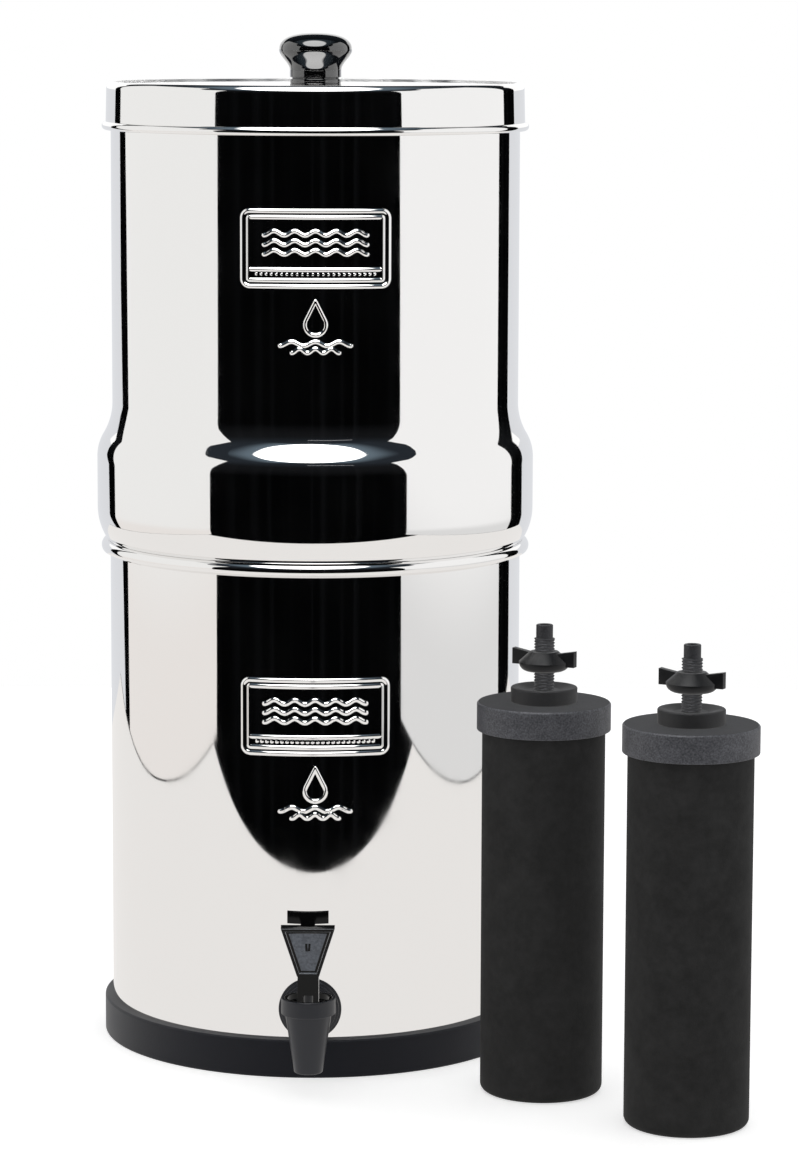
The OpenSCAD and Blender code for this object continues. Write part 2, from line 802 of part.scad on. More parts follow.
// ---------------------------------------------------------------- Valve and lever

barb_t = 2;
barb_floor = 2;
stem_top_z = pin_z + valve_stem_r + 0.3;

module valve_stem() {
    color(black)
    translate([0, spout_y, 0])
    difference() {
        union() {
            translate([0, 0, seat_z + barb_floor])
            cylinder(h = barb_t, r = barb_r, $fn = 48);
            translate([0, 0, seat_z + barb_floor])
            cylinder(h = stem_top_z - seat_z - barb_floor, r = valve_stem_r, $fn = 48);
        }
        translate([-neck_w / 2, 0, pin_z])
        rotate([0, 90, 0])
        cylinder(h = neck_w, r = lever_pin_r + running_clear, $fn = 32);
    }
}

module seat_cup() {
    color(clear_silicone)
    translate([0, spout_y, seat_z])
    rotate_extrude($fn = 64)
    polygon([
        [0, 0], [seat_cup_r - 1, 0], [seat_cup_r, 1], [seat_cup_r, 0.4 * seat_cup_h],
        [0.75 * seat_cup_r, seat_cup_h], [valve_stem_r, seat_cup_h],
        [valve_stem_r, barb_floor + barb_t], [barb_r, barb_floor + barb_t],
        [barb_r, barb_floor], [0, barb_floor]
    ]);
}

// Side view of the lever's foot round its pin, as [forward, up]. Its front is an involute
// of the circle of radius cam_lift, so the stem rises in step with the lever's turn.
function foot_front() = [for (i = [0:8]) let (
        a = lever_pull * 1.1 * i / 8,
        reach = cam_h - cam_clear + cam_lift * a * PI / 180)
    [cam_lift * cos(a) + reach * sin(a), cam_lift * sin(a) - reach * cos(a)]];

module lever_neck() {
    rib_lean = rib_l * tan(paddle_lean);
    translate([-neck_w / 2, 0, 0])
    rotate([90, 0, 90])
    linear_extrude(height = neck_w)
    polygon(concat(
        [[neck_back, -(cam_h - cam_clear)]],
        [for (p = foot_front()) [-p[0], p[1]]],
        [[-paddle_front + neck_setback, paddle_up + 1],
         [-paddle_front + paddle_t / 2 - rib_lean, paddle_up + rib_l],
         [-paddle_front + 1.2 * paddle_t - rib_lean, paddle_up + rib_l],
         [neck_back, paddle_up + 2]]
    ));
}

module trapezoid(low_w, top_w, l) {
    polygon([[-low_w / 2, 0], [low_w / 2, 0], [top_w / 2, l], [-top_w / 2, l]]);
}

// The face of the paddle, inset all round
module paddle_face(inset) {
    slope = (paddle_top_w - paddle_low_w) / 2 / paddle_l;
    side = inset * sqrt(1 + slope * slope);
    low = paddle_low_w / 2 + slope * inset - side;
    top = paddle_top_w / 2 - slope * inset - side;
    translate([0, inset])
    trapezoid(2 * low, 2 * top, paddle_l - 2 * inset);
}

module paddle() {
    translate([0, -paddle_front, paddle_up])
    rotate([paddle_lean, 0, 0])
    rotate([90, 0, 0])
    translate([0, 0, -paddle_t]) {
        difference() {
            linear_extrude(height = paddle_t)
            paddle_face(0);
            translate([0, 0, paddle_t - paddle_recess])
            linear_extrude(height = paddle_recess + 1)
            paddle_face(paddle_rim);
        }
        linear_extrude(height = paddle_t - paddle_recess + pad_h)
        paddle_face(paddle_rim + pad_gap);
    }
}

module tab() {
    top_z = paddle_up + paddle_l * cos(paddle_lean) + tab_rise;
    back_y = -paddle_front - paddle_l * sin(paddle_lean) + paddle_t + 0.5;
    translate([0, back_y + tab_curve_r - tab_t, 0])
    intersection() {
        difference() {
            translate([0, 0, top_z - 2 * tab_h - tab_rise])
            cylinder(h = 2 * tab_h + tab_rise, r = tab_curve_r, $fn = 128);
            translate([0, 0, top_z - 2 * tab_h - tab_rise - 1])
            cylinder(h = 2 * tab_h + tab_rise + 2, r = tab_curve_r - tab_t, $fn = 128);
        }
        union() {
            translate([-tab_w / 2, -tab_curve_r - 1, top_z - tab_h])
            cube([tab_w, tab_curve_r, tab_h]);
            translate([-tab_stem_w / 2, -tab_curve_r - 1, top_z - 2 * tab_h - tab_rise])
            cube([tab_stem_w, tab_curve_r, 2 * tab_h + tab_rise]);
        }
    }
}

module lever_handle() {
    slot_w = 2 * (valve_stem_r + slot_clear);
    color(black)
    translate([0, spout_y, pin_z])
    difference() {
        union() {
            lever_neck();
            paddle();
            tab();
        }
        // Slot for the stem, rounded round the pin so that the lever can turn
        translate([-slot_w / 2, -2 * cam_h, -2 * cam_h])
        cube([slot_w, 4 * cam_h, 2 * cam_h]);
        translate([-slot_w / 2, 0, 0])
        rotate([0, 90, 0])
        cylinder(h = slot_w, r = stem_top_z - pin_z + slot_clear + 0.6, $fn = 48);
        translate([-neck_w, 0, 0])
        rotate([0, 90, 0])
        cylinder(h = 2 * neck_w, r = lever_pin_r + running_clear, $fn = 32);
    }
}

module lever_pin() {
    color(steel)
    translate([-neck_w / 2, spout_y, pin_z])
    rotate([0, 90, 0])
    cylinder(h = neck_w, r = lever_pin_r, $fn = 32);
}

// ---------------------------------------------------------------- Filter elements

// Each part of an element of length l is drawn as it stands, its closed end at the origin
module element_carbon(l) {
    carbon_l = l - cap_top_t;
    color(carbon_black)
    difference() {
        rotate_extrude()
        polygon(concat(
            [[0, 0]],
            arc(carbon_r - carbon_edge_r, carbon_edge_r, carbon_edge_r, -90, 0, 5),
            [[carbon_r, carbon_l], [0, carbon_l]]
        ));
        translate([0, 0, core_floor])
        cylinder(h = carbon_l, r = core_r, $fn = 48);
    }
}

module element_cap(l) {
    thread_l = element_stem_l - tip_l;
    color(speckled_grey)
    translate([0, 0, l])
    difference() {
        union() {
            rotate_extrude()
            polygon([
                [0, -cap_top_t], [carbon_r, -cap_top_t], [carbon_r, -cap_h], [cap_r, -cap_h],
                [cap_r, -cap_chamfer], [cap_r - cap_chamfer, 0], [0, 0]
            ]);
            translate([0, 0, -cap_top_t / 2])
            cylinder(h = thread_l + cap_top_t / 2, r = element_stem_r, $fn = 64);
            cylinder(h = element_stem_l, r = tip_r, $fn = 64);
        }
        translate([0, 0, -cap_top_t - 1])
        cylinder(h = element_stem_l + cap_top_t + 2, r = stem_bore_r, $fn = 48);
    }
}

module element_washer(l) {
    color(rubber)
    translate([0, 0, l])
    rotate_extrude()
    polygon([
        [element_stem_r, 0], [washer_r, 0], [washer_r, washer_t - 0.6], [washer_r - 0.6, washer_t],
        [washer_r - 2.2, washer_t], [1.6 * element_stem_r, washer_t - washer_dish],
        [element_stem_r, washer_t - washer_dish]
    ]);
}

// Wing nut with its bearing face at the origin and its hub towards +Z
module wing_nut() {
    bowl = [for (a = [0:15:90])
        [wing_foot_r + (wing_body_r - wing_foot_r) * sin(a), wing_body_h * (1 - cos(a))]];
    tip_z = wing_nut_h + wing_rise;
    color(black)
    difference() {
        union() {
            rotate_extrude($fn = 64)
            polygon(concat([[0, 0]], bowl, [[wing_hub_r, wing_nut_h], [0, wing_nut_h]]));
            translate([0, wing_t / 2, 0])
            rotate([90, 0, 0])
            linear_extrude(height = wing_t)
            polygon([
                [-wing_span / 2, tip_z - wing_h], [wing_span / 2, tip_z - wing_h],
                [wing_span / 2, tip_z], [wing_hub_r, wing_nut_h - wing_rise],
                [-wing_hub_r, wing_nut_h - wing_rise], [-wing_span / 2, tip_z]
            ]);
        }
        translate([0, 0, -1])
        cylinder(h = wing_nut_h + 2, r = nut_bore_r, $fn = 64);
    }
}

// Children as an element that hangs in the upper chamber's floor, cap down
module fitted(i) {
    at_floor_hole(fitted_angles[i])
    translate([0, 0, fitted_z])
    rotate([180, 0, 0])
    children();
}

// The wing nut of a fitted element, under the chamber's floor
module fitted_nut(i) {
    at_floor_hole(fitted_angles[i])
    translate([0, 0, floor_under_z])
    rotate([180, 0, wing_turn])
    wing_nut();
}

// Children as an element that stands on the table
module standing(place) {
    translate([place[0], place[1], 0])
    children();
}

// The wing nut of a standing element, screwed part of the way down its stem
module standing_nut(place) {
    standing(place)
    translate([0, 0, element_l + washer_t + wing_nut_gap])
    rotate([0, 0, wing_turn])
    wing_nut();
}

// ---------------------------------------------------------------- Nodes

base_ring();
lower_chamber();
tap_body();
tap_outer_gasket();
tap_inner_gasket();
tap_nut();
tap_bonnet();
valve_stem();
seat_cup();
lever_handle();
lever_pin();
upper_chamber();
blocking_plugs();
fitted(0) element_carbon(fitted_l);  // fitted_a_carbon
fitted(0) element_cap(fitted_l);  // fitted_a_cap
fitted(0) element_washer(fitted_l);  // fitted_a_washer
fitted_nut(0);  // fitted_a_wing_nut
fitted(1) element_carbon(fitted_l);  // fitted_b_carbon
fitted(1) element_cap(fitted_l);  // fitted_b_cap
fitted(1) element_washer(fitted_l);  // fitted_b_washer
fitted_nut(1);  // fitted_b_wing_nut
lid();
lid_knob();
knob_ring();
knob_screw();
knob_washer();
standing(stand_a) element_carbon(element_l);  // standing_a_carbon
standing(stand_a) element_cap(element_l);  // standing_a_cap
standing(stand_a) element_washer(element_l);  // standing_a_washer
standing_nut(stand_a);  // standing_a_wing_nut
standing(stand_b) element_carbon(element_l);  // standing_b_carbon
standing(stand_b) element_cap(element_l);  // standing_b_cap
standing(stand_b) element_washer(element_l);  // standing_b_washer
standing_nut(stand_b);  // standing_b_wing_nut
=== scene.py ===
"""Looks of a two-chamber gravity water filter with its tap and two loose filter elements.

Sizes in the pieces' classes are millimetres, as in the part's drawing. Meshes and the studio are in metres.
"""

import json
import logging
import math
from collections.abc import Sequence
from dataclasses import dataclass
from enum import Enum

import bpy
import numpy as np
from mathutils import Matrix, Vector

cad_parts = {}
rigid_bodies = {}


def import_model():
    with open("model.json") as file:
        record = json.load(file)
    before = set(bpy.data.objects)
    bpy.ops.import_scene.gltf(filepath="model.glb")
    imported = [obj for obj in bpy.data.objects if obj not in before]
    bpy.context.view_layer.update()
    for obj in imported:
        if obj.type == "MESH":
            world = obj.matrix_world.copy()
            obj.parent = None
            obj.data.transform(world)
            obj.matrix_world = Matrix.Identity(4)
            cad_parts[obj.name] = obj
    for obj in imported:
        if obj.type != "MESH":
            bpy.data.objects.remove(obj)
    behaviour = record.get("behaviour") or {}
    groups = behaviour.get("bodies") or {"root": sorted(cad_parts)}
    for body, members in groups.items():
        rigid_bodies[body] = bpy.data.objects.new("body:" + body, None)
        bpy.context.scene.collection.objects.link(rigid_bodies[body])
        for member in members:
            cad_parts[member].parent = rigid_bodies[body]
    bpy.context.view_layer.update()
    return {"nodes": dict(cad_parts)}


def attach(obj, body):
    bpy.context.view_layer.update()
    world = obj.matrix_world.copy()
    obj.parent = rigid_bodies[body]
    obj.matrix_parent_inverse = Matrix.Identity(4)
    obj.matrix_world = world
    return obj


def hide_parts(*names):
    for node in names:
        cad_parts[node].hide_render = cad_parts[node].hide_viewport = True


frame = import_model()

logging.basicConfig(level=logging.INFO, format="%(message)s")
log = logging.getLogger("water_filter")

MM = 0.001
# Chords in the rounding of a section's corner.
ROUNDING = 5
# A point of a section: its distance from the axis and its height.
Point = tuple[float, float]
# A section's corner with its rounding, or a place in space.
Corner = tuple[float, float, float]
Piece = bpy.types.Object
Tree = bpy.types.NodeTree
Socket = bpy.types.NodeSocket


class Body(Enum):
    """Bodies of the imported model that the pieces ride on."""

    LOWER = "lower"
    LEVER = "lever"
    UPPER = "upper"
    COVER = "cover"
    FITTED_NUT_A = "fitted_nut_a"
    FITTED_NUT_B = "fitted_nut_b"
    ELEMENT_A = "element_a"
    ELEMENT_B = "element_b"
    STANDING_NUT_A = "standing_nut_a"
    STANDING_NUT_B = "standing_nut_b"


class Slot(Enum):
    """Material slots of the record, named with each piece."""

    POLISHED_STEEL = "polished_steel"
    BASE_RUBBER = "base_rubber"
    GASKET_RUBBER = "gasket_rubber"
    TAP_PLASTIC = "tap_plastic"
    KNOB_PLASTIC = "knob_plastic"
    CAP_PLASTIC = "cap_plastic"
    NUT_PLASTIC = "nut_plastic"
    CARBON_BLOCK = "carbon_block"


class Boolean(Enum):
    """Ways in which a tool changes a piece."""

    ADD = "UNION"
    CUT = "DIFFERENCE"


# ---------------------------------------------------------------- Sections


def arc(x: float, z: float, r: float, start: float, end: float, steps: int = 8) -> list[Point]:
    """Points of an arc round (x, z).

    Args:
        x: Centre's distance from the axis.
        z: Centre's height.
        r: Radius.
        start: First angle in degrees.
        end: Last angle in degrees.
        steps: How many chords.

    Returns:
        The points, both ends included.
    """
    angles = [math.radians(start + (end - start) * i / steps) for i in range(steps + 1)]
    return [(x + r * math.cos(a), z + r * math.sin(a)) for a in angles]


def rounded(corners: Sequence[Corner]) -> list[Point]:
    """A closed section whose corners are rounded off.

    Args:
        corners: (x, z, radius) of each corner in order; a radius of 0 keeps it sharp.

    Returns:
        The section's points.
    """
    points: list[Point] = []
    count = len(corners)
    for i, (x, z, r) in enumerate(corners):
        here = Vector((x, z))
        before = Vector(corners[i - 1][:2]) - here
        after = Vector(corners[(i + 1) % count][:2]) - here
        if r <= 0:
            points.append((x, z))
            continue
        half = before.angle(after) / 2
        reach = min(r / math.tan(half), 0.49 * before.length, 0.49 * after.length)
        radius = reach * math.tan(half)
        before, after = before.normalized(), after.normalized()
        centre = here + (before + after).normalized() * radius / math.sin(half)
        first = here + before * reach - centre
        last = here + after * reach - centre
        turn = first.angle_signed(last)
        for k in range(ROUNDING + 1):
            a = -turn * k / ROUNDING
            points.append((centre.x + first.x * math.cos(a) - first.y * math.sin(a),
                           centre.y + first.x * math.sin(a) + first.y * math.cos(a)))
    return points


def held(points: Sequence[Point], gap: float) -> list[Point]:
    """A section with a point near both ends of each long straight, which keeps its shading true.

    Args:
        points: The section.
        gap: Distance of the new points from the ends.

    Returns:
        The section with the new points.
    """
    result: list[Point] = [points[0]]
    for a, b in zip(points, points[1:]):
        length = math.dist(a, b)
        if length > 4 * gap:
            for t in (gap / length, 1 - gap / length):
                result.append((a[0] + (b[0] - a[0]) * t, a[1] + (b[1] - a[1]) * t))
        result.append(b)
    return result


# ---------------------------------------------------------------- Meshes


def deselect() -> None:
    """Leaves edit mode and deselects every object."""
    if bpy.context.object and bpy.context.object.mode != "OBJECT":
        bpy.ops.object.mode_set(mode="OBJECT")
    bpy.ops.object.select_all(action="DESELECT")


def activate(piece: Piece) -> None:
    """Makes one piece the only selected and active object."""
    deselect()
    piece.select_set(True)
    bpy.context.view_layer.objects.active = piece


def smooth(piece: Piece, angle: float = 35) -> Piece:
    """Shades a piece smooth where its faces meet at less than an angle in degrees."""
    activate(piece)
    bpy.ops.object.shade_smooth_by_angle(angle=math.radians(angle))
    return piece


def turned(name: str, section: Sequence[Point], steps: int = 128, closed: bool = False,
           gap: float = 0.6) -> Piece:
    """Turns a section round the vertical axis, as on a lathe.

    Args:
        name: The piece's name.
        section: (distance from the axis, height) points in millimetres.
        steps: Segments round the axis.
        closed: True where the section is a closed ring that stays off the axis.
        gap: Distance of the holding points from the ends of long straights.

    Returns:
        The piece.
    """
    path = held(list(section) + ([section[0]] if closed else []), gap)
    deselect()
    bpy.ops.mesh.primitive_plane_add(size=MM, location=(0, 0, 0))
    piece = bpy.context.object
    piece.name = piece.data.name = name
    bpy.ops.object.mode_set(mode="EDIT")
    bpy.ops.mesh.merge(type="CENTER")
    bpy.ops.transform.translate(value=(path[0][0] * MM, 0, path[0][1] * MM))
    for a, b in zip(path, path[1:]):
        step = ((b[0] - a[0]) * MM, 0, (b[1] - a[1]) * MM)
        bpy.ops.mesh.extrude_vertices_move(TRANSFORM_OT_translate={"value": step})
    bpy.ops.mesh.select_all(action="SELECT")
    bpy.ops.mesh.spin(steps=steps, angle=2 * math.pi, center=(0, 0, 0), axis=(0, 0, 1))
    bpy.ops.mesh.select_all(action="SELECT")
    bpy.ops.mesh.remove_doubles(threshold=2e-6)
    bpy.ops.mesh.normals_make_consistent(inside=False)
    bpy.ops.object.mode_set(mode="OBJECT")
    return smooth(piece)


def placed(piece: Piece, matrix: Matrix) -> Piece:
    """Moves a piece by a matrix in its mesh, so that its object stays at the origin."""
    piece.data.transform(matrix)
    piece.data.update()
    return piece


def copied(piece: Piece, name: str, matrix: Matrix) -> Piece:
    """A copy of a piece with its own mesh, moved by a matrix."""
    other = piece.copy()
    other.data = piece.data.copy()
    other.name = other.data.name = name
    bpy.context.scene.collection.objects.link(other)
    return placed(other, matrix)


def combined(piece: Piece, tool: Piece, operation: Boolean) -> Piece:
    """Joins or cuts a piece with another one, which is used up.

    Args:
        piece: The piece that stays.
        tool: The other piece.
        operation: Whether it is added or taken away.

    Returns:
        The piece.
    """
    activate(piece)
    modifier = piece.modifiers.new("combine", "BOOLEAN")
    modifier.operation, modifier.object, modifier.solver = operation.value, tool, "EXACT"
    bpy.ops.object.modifier_apply(modifier=modifier.name)
    bpy.data.objects.remove(tool)
    return piece


def laid(piece: Piece, height: float) -> Piece:
    """Lays a piece turned round the world's axis along the tap's barrel, at its height in millimetres."""
    return placed(piece, Matrix.Translation((0, 0, height * MM)) @ Matrix.Rotation(math.pi / 2, 4, "X"))


def rod(radius: float, low: float, high: float, steps: int = 64) -> Piece:
    """A plain vertical cylinder in millimetres, used to bore holes."""
    return turned("rod", [(0, low), (radius, low), (radius, high), (0, high)], steps)


def softened(node: str, name: str, width: float, segments: int) -> Piece:
    """A copy of a node's mesh whose edges are rounded off a little, as a mould leaves them.

    Args:
        node: The node.
        name: The new piece's name.
        width: Width of the rounding in millimetres.
        segments: Faces across the rounding.

    Returns:
        The piece.
    """
    piece = copied(frame["nodes"][node], name, Matrix.Identity(4))
    piece.parent = None
    for key in list(piece.keys()):
        del piece[key]
    piece.data.materials.clear()
    activate(piece)
    bpy.ops.object.mode_set(mode="EDIT")
    bpy.ops.mesh.select_all(action="SELECT")
    bpy.ops.mesh.remove_doubles(threshold=1e-6)
    bpy.ops.mesh.dissolve_limited(angle_limit=math.radians(1))
    bpy.ops.object.mode_set(mode="OBJECT")
    if piece.data.has_custom_normals:
        bpy.ops.mesh.customdata_custom_splitnormals_clear()
    modifier = piece.modifiers.new("soften", "BEVEL")
    modifier.width, modifier.segments = width * MM, segments
    modifier.limit_method, modifier.angle_limit = "ANGLE", math.radians(25)
    modifier.harden_normals = False
    bpy.ops.object.modifier_apply(modifier=modifier.name)
    return smooth(piece, 40)


def seat(piece: Piece, body: Body, slot: Slot, finish: "Finish", *nodes: str) -> Piece:
    """Gives a piece its finish in the first slot, its body and the nodes that it stands for.

    Args:
        piece: The piece.
        body: The body that it rides on.
        slot: The record's material slot; not used.
        finish: Its finish.
        nodes: CAD nodes that it replaces.

    Returns:
        The piece.
    """
    if piece.data.materials:
        piece.data.materials[0] = finish.material()
    else:
        piece.data.materials.append(finish.material())
    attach(piece, body.value)
    if nodes:
        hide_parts(*nodes)
    log.info("%s: %d faces on %s, %s", piece.name, len(piece.data.polygons), body.value, finish.name)
    return piece


# ---------------------------------------------------------------- Finishes


def colour(code: str) -> tuple[float, float, float, float]:
    """Linear colour of an sRGB hex code such as D8D8D8."""
    parts = [int(code[i:i + 2], 16) / 255 for i in (0, 2, 4)]
    linear = [c / 12.92 if c <= 0.04045 else ((c + 0.055) / 1.055) ** 2.4 for c in parts]
    return linear[0], linear[1], linear[2], 1.0


def fill(tree: Tree, node: bpy.types.Node, inputs: dict) -> None:
    """Fills a node's inputs.

    Args:
        tree: The node tree.
        node: The node.
        inputs: By the input's name or number, a value, a socket, or a node for its first output.
    """
    for key, value in inputs.items():
        if isinstance(value, bpy.types.Node):
            value = value.outputs[0]
        if isinstance(value, Socket):
            tree.links.new(value, node.inputs[key])
        else:
            node.inputs[key].default_value = value


def add_node(tree: Tree, kind: str, inputs: dict | None = None, **settings: object) -> bpy.types.Node:
    """Adds a node with its settings, values and links.

    Args:
        tree: The node tree.
        kind: The node's type after ShaderNode.
        inputs: What fill takes.
        settings: The node's properties.

    Returns:
        The node.
    """
    node = tree.nodes.new("ShaderNode" + kind)
    for key, value in settings.items():
        setattr(node, key, value)
    fill(tree, node, inputs or {})
    return node


def cleared(owner: bpy.types.ID) -> Tree:
    """The empty node tree of a new material or world."""
    owner.use_nodes = True
    owner.node_tree.nodes.clear()
    return owner.node_tree


def grained(tree: Tree, place: Socket, size: float, detail: float, depth: float,
            strength: float = 1) -> bpy.types.Node:
    """Adds a bump made by noise.

    Args:
        tree: The node tree.
        place: Object coordinates.
        size: Size of the grain in millimetres.
        detail: Octaves of finer noise in it.
        depth: Its depth in millimetres.
        strength: Share of that depth that shows.

    Returns:
        The bump's node.
    """
    noise = add_node(tree, "TexNoise", {"Vector": place, "Scale": 1 / (size * MM), "Detail": detail})
    return add_node(tree, "Bump", {"Height": noise, "Strength": strength, "Distance": depth * MM})


@dataclass(frozen=True)
class Finish:
    """What all finishes share: a name, and a material that is made once."""

    name: str

    def material(self) -> bpy.types.Material:
        """The finish's material, made at its first use."""
        found = bpy.data.materials.get(self.name)
        if found:
            return found
        material = bpy.data.materials.new(self.name)
        material.use_nodes = True
        tree = material.node_tree
        place = add_node(tree, "TexCoord").outputs["Object"]
        fill(tree, tree.nodes["Principled BSDF"], self.inputs(tree, place))
        return material

    def inputs(self, tree: Tree, place: Socket) -> dict:
        """Adds the finish's nodes.

        Args:
            tree: The material's node tree.
            place: Object coordinates.

        Returns:
            What the Principled BSDF's inputs take.
        """
        raise NotImplementedError


@dataclass(frozen=True)
class MirrorSteel(Finish):
    """Drawn 304 stainless steel, buffed to a mirror. The sheet keeps faint waves from drawing,
    some 60 mm long, which bend the edges of reflections a little."""

    tone: str = "F2F1F0"
    roughness: float = 0.03
    haze: float = 22
    wave: float = 60
    wave_depth: float = 0.05

    def inputs(self, tree: Tree, place: Socket) -> dict:
        """A mirror with drawing waves and a faint buffing haze."""
        haze = add_node(tree, "TexNoise", {"Vector": place, "Scale": 1 / (self.haze * MM), "Detail": 3})
        rough = add_node(tree, "MapRange", {
            "Value": haze, "From Min": 0.35, "From Max": 0.7,
            "To Min": self.roughness * 0.7, "To Max": self.roughness * 1.8})
        return {"Metallic": 1, "Base Color": colour(self.tone), "Roughness": rough,
                "Normal": grained(tree, place, self.wave, 1, self.wave_depth)}


@dataclass(frozen=True)
class MachinedSteel(Finish):
    """Turned stainless steel of the screw, its washer and the lever's pin: fine rings left by the tool."""

    tone: str = "BFC0C1"
    ring: float = 1.2
    ring_depth: float = 0.02

    def inputs(self, tree: Tree, place: Socket) -> dict:
        """Turned steel with fine rings."""
        rings = add_node(tree, "TexWave", {"Vector": place, "Scale": 1 / (self.ring * MM), "Distortion": 0.4},
                         wave_type="RINGS", rings_direction="Z")
        bump = add_node(tree, "Bump", {
            "Height": rings.outputs[1], "Strength": 0.3, "Distance": self.ring_depth * MM})
        return {"Metallic": 1, "Base Color": colour(self.tone), "Roughness": 0.3, "Normal": bump}


@dataclass(frozen=True)
class Moulded(Finish):
    """A moulded polymer: tone and roughness vary a little in clouds, over a fine moulded grain."""

    dark: str
    light: str
    roughness: float
    cloud: float
    grain: float
    grain_depth: float
    coat: float = 0.0
    specular: float = 0.5
    sheen: float = 0.0

    def inputs(self, tree: Tree, place: Socket) -> dict:
        """A clouded tone, a grain bump and, for glossy mouldings, a clear skin."""
        cloud = add_node(tree, "TexNoise", {"Vector": place, "Scale": 1 / (self.cloud * MM), "Detail": 4})
        tone = add_node(tree, "Mix", {0: cloud, 6: colour(self.dark), 7: colour(self.light)}, data_type="RGBA")
        rough = add_node(tree, "MapRange", {
            "Value": cloud, "From Min": 0.3, "From Max": 0.7,
            "To Min": self.roughness * 0.88, "To Max": self.roughness * 1.12})
        return {"Base Color": tone.outputs[2], "Roughness": rough, "Specular IOR Level": self.specular,
                "Sheen Weight": self.sheen, "Coat Weight": self.coat, "Coat Roughness": 0.04, "Coat IOR": 1.9,
                "Normal": grained(tree, place, self.grain, 2, self.grain_depth)}


@dataclass(frozen=True)
class Speckled(Finish):
    """Glass-filled polypropylene of the element caps: pale fibre ends speckle a dark grey moulding."""

    dark: str = "303136"
    light: str = "5C5D63"
    roughness: float = 0.5
    cloud: float = 7
    speck: float = 0.8
    speck_depth: float = 0.06

    def inputs(self, tree: Tree, place: Socket) -> dict:
        """Speckles about 0.8 mm apart over faint clouds."""
        cloud = add_node(tree, "TexNoise", {"Vector": place, "Scale": 1 / (self.cloud * MM), "Detail": 2})
        speck = add_node(tree, "TexNoise", {"Vector": place, "Scale": 1 / (self.speck * MM), "Detail": 2})
        faint = add_node(tree, "Math", {0: cloud, 1: 0.3}, operation="MULTIPLY")
        mixed = add_node(tree, "Math", {0: faint, 1: speck}, operation="ADD")
        share = add_node(tree, "MapRange", {"Value": mixed, "From Min": 0.45, "From Max": 0.9})
        tone = add_node(tree, "Mix", {0: share, 6: colour(self.dark), 7: colour(self.light)}, data_type="RGBA")
        bump = add_node(tree, "Bump", {"Height": speck, "Strength": 0.5, "Distance": self.speck_depth * MM})
        return {"Base Color": tone.outputs[2], "Roughness": self.roughness, "Normal": bump}


@dataclass(frozen=True)
class CarbonBlock(Finish):
    """Pressed and wiped carbon block: matte near-black, with soft mottling and fine grit."""

    dark: str = "191919"
    light: str = "2A2A2A"
    smudge: float = 14
    mottle: float = 4
    grit: float = 0.9
    grit_depth: float = 0.1

    def inputs(self, tree: Tree, place: Socket) -> dict:
        """Smudges 14 mm across, mottling 4 mm across and grit 0.9 mm apart."""
        smudge = add_node(tree, "TexNoise", {"Vector": place, "Scale": 1 / (self.smudge * MM), "Detail": 3})
        mottle = add_node(tree, "TexNoise", {
            "Vector": place, "Scale": 1 / (self.mottle * MM), "Detail": 5, "Roughness": 0.7})
        mixed = add_node(tree, "Math", {0: mottle, 1: smudge}, operation="ADD")
        share = add_node(tree, "MapRange", {"Value": mixed, "From Min": 0.7, "From Max": 1.4})
        tone = add_node(tree, "Mix", {0: share, 6: colour(self.dark), 7: colour(self.light)}, data_type="RGBA")
        return {"Base Color": tone.outputs[2], "Roughness": 0.8, "Specular IOR Level": 0.3,
                "Normal": grained(tree, place, self.grit, 2, self.grit_depth, 0.6)}


# Chambers and lid: a mirror that shows the studio.
MIRROR = MirrorSteel("mirror_polished_304_steel")
# The same steel inside the lid's crest, scuffed where lids are stacked: a satin that spreads the light.
SCUFFED_STEEL = MirrorSteel("scuffed_304_steel", roughness=0.45)
# Screw, washer and pin: bright rings in a grey sheen.
TURNED_STEEL = MachinedSteel("turned_steel")
# PVC rubber of the base ring: matte, with a soft bloom that greys it.
BASE_RUBBER = Moulded("moulded_pvc_rubber", "12131A", "1A1C24", roughness=0.6, cloud=25, grain=0.8,
                      grain_depth=0.05, specular=0.15, sheen=0.3)
# EPDM of the gaskets, plugs and element washers: matte black with a dry skin.
GASKET_RUBBER = Moulded("pressed_epdm_rubber", "18181A", "242427", roughness=0.6, cloud=9, grain=0.6,
                        grain_depth=0.05)
# Silicone of the seat cup: milky, with a soft shine.
SILICONE = Moulded("cast_silicone", "B9B8B2", "C9C8C2", roughness=0.45, cloud=15, grain=1.5, grain_depth=0.02)
# Polypropylene of the tap body: satin from a lightly etched mould.
TAP_PLASTIC = Moulded("etched_polypropylene", "15171F", "1D2029", roughness=0.36, cloud=10, grain=0.6,
                      grain_depth=0.04)
# Glossy ABS of the lever's frame and tab and the bonnet: black, with a bright skin.
GLOSSY_ABS = Moulded("gloss_moulded_abs", "060606", "0B0B0C", roughness=0.2, cloud=14, grain=2.0,
                     grain_depth=0.01, specular=0.2)
# Etched grip pad on the lever: the same ABS with a leather-like grain that greys it, coarse enough to show.
GRIP_ABS = Moulded("grain_etched_abs", "1C1F25", "7C828C", roughness=0.5, cloud=1.2, grain=1.2,
                   grain_depth=0.5)
# Edges of the lever's frame: the same ABS, satin, in a pale grey that is a painted highlight on them.
EDGE_HIGHLIGHT_ABS = Moulded("abs_painted_edge_highlight", "9EA2A8", "C4C8CE", roughness=0.35, cloud=3, grain=0.6,
                     grain_depth=0.02)
# Phenolic knob: compression moulded and buffed, deep black with sharp lights.
KNOB_PLASTIC = Moulded("buffed_phenolic", "060607", "0A0A0B", roughness=0.08, cloud=20, grain=3.0,
                       grain_depth=0.004, coat=1, specular=0.4)
# Caps of the filter elements: dark grey, speckled by fibre ends.
CAP_PLASTIC = Speckled("glass_filled_polypropylene")
# The same compound on the cap's flat top face: rougher, with painted shade that sets it darker than the side.
CAP_FACE_PAINTED_SHADE = Speckled("glass_filled_polypropylene_face_painted_shade", "141519", "2A2B30", roughness=0.7)
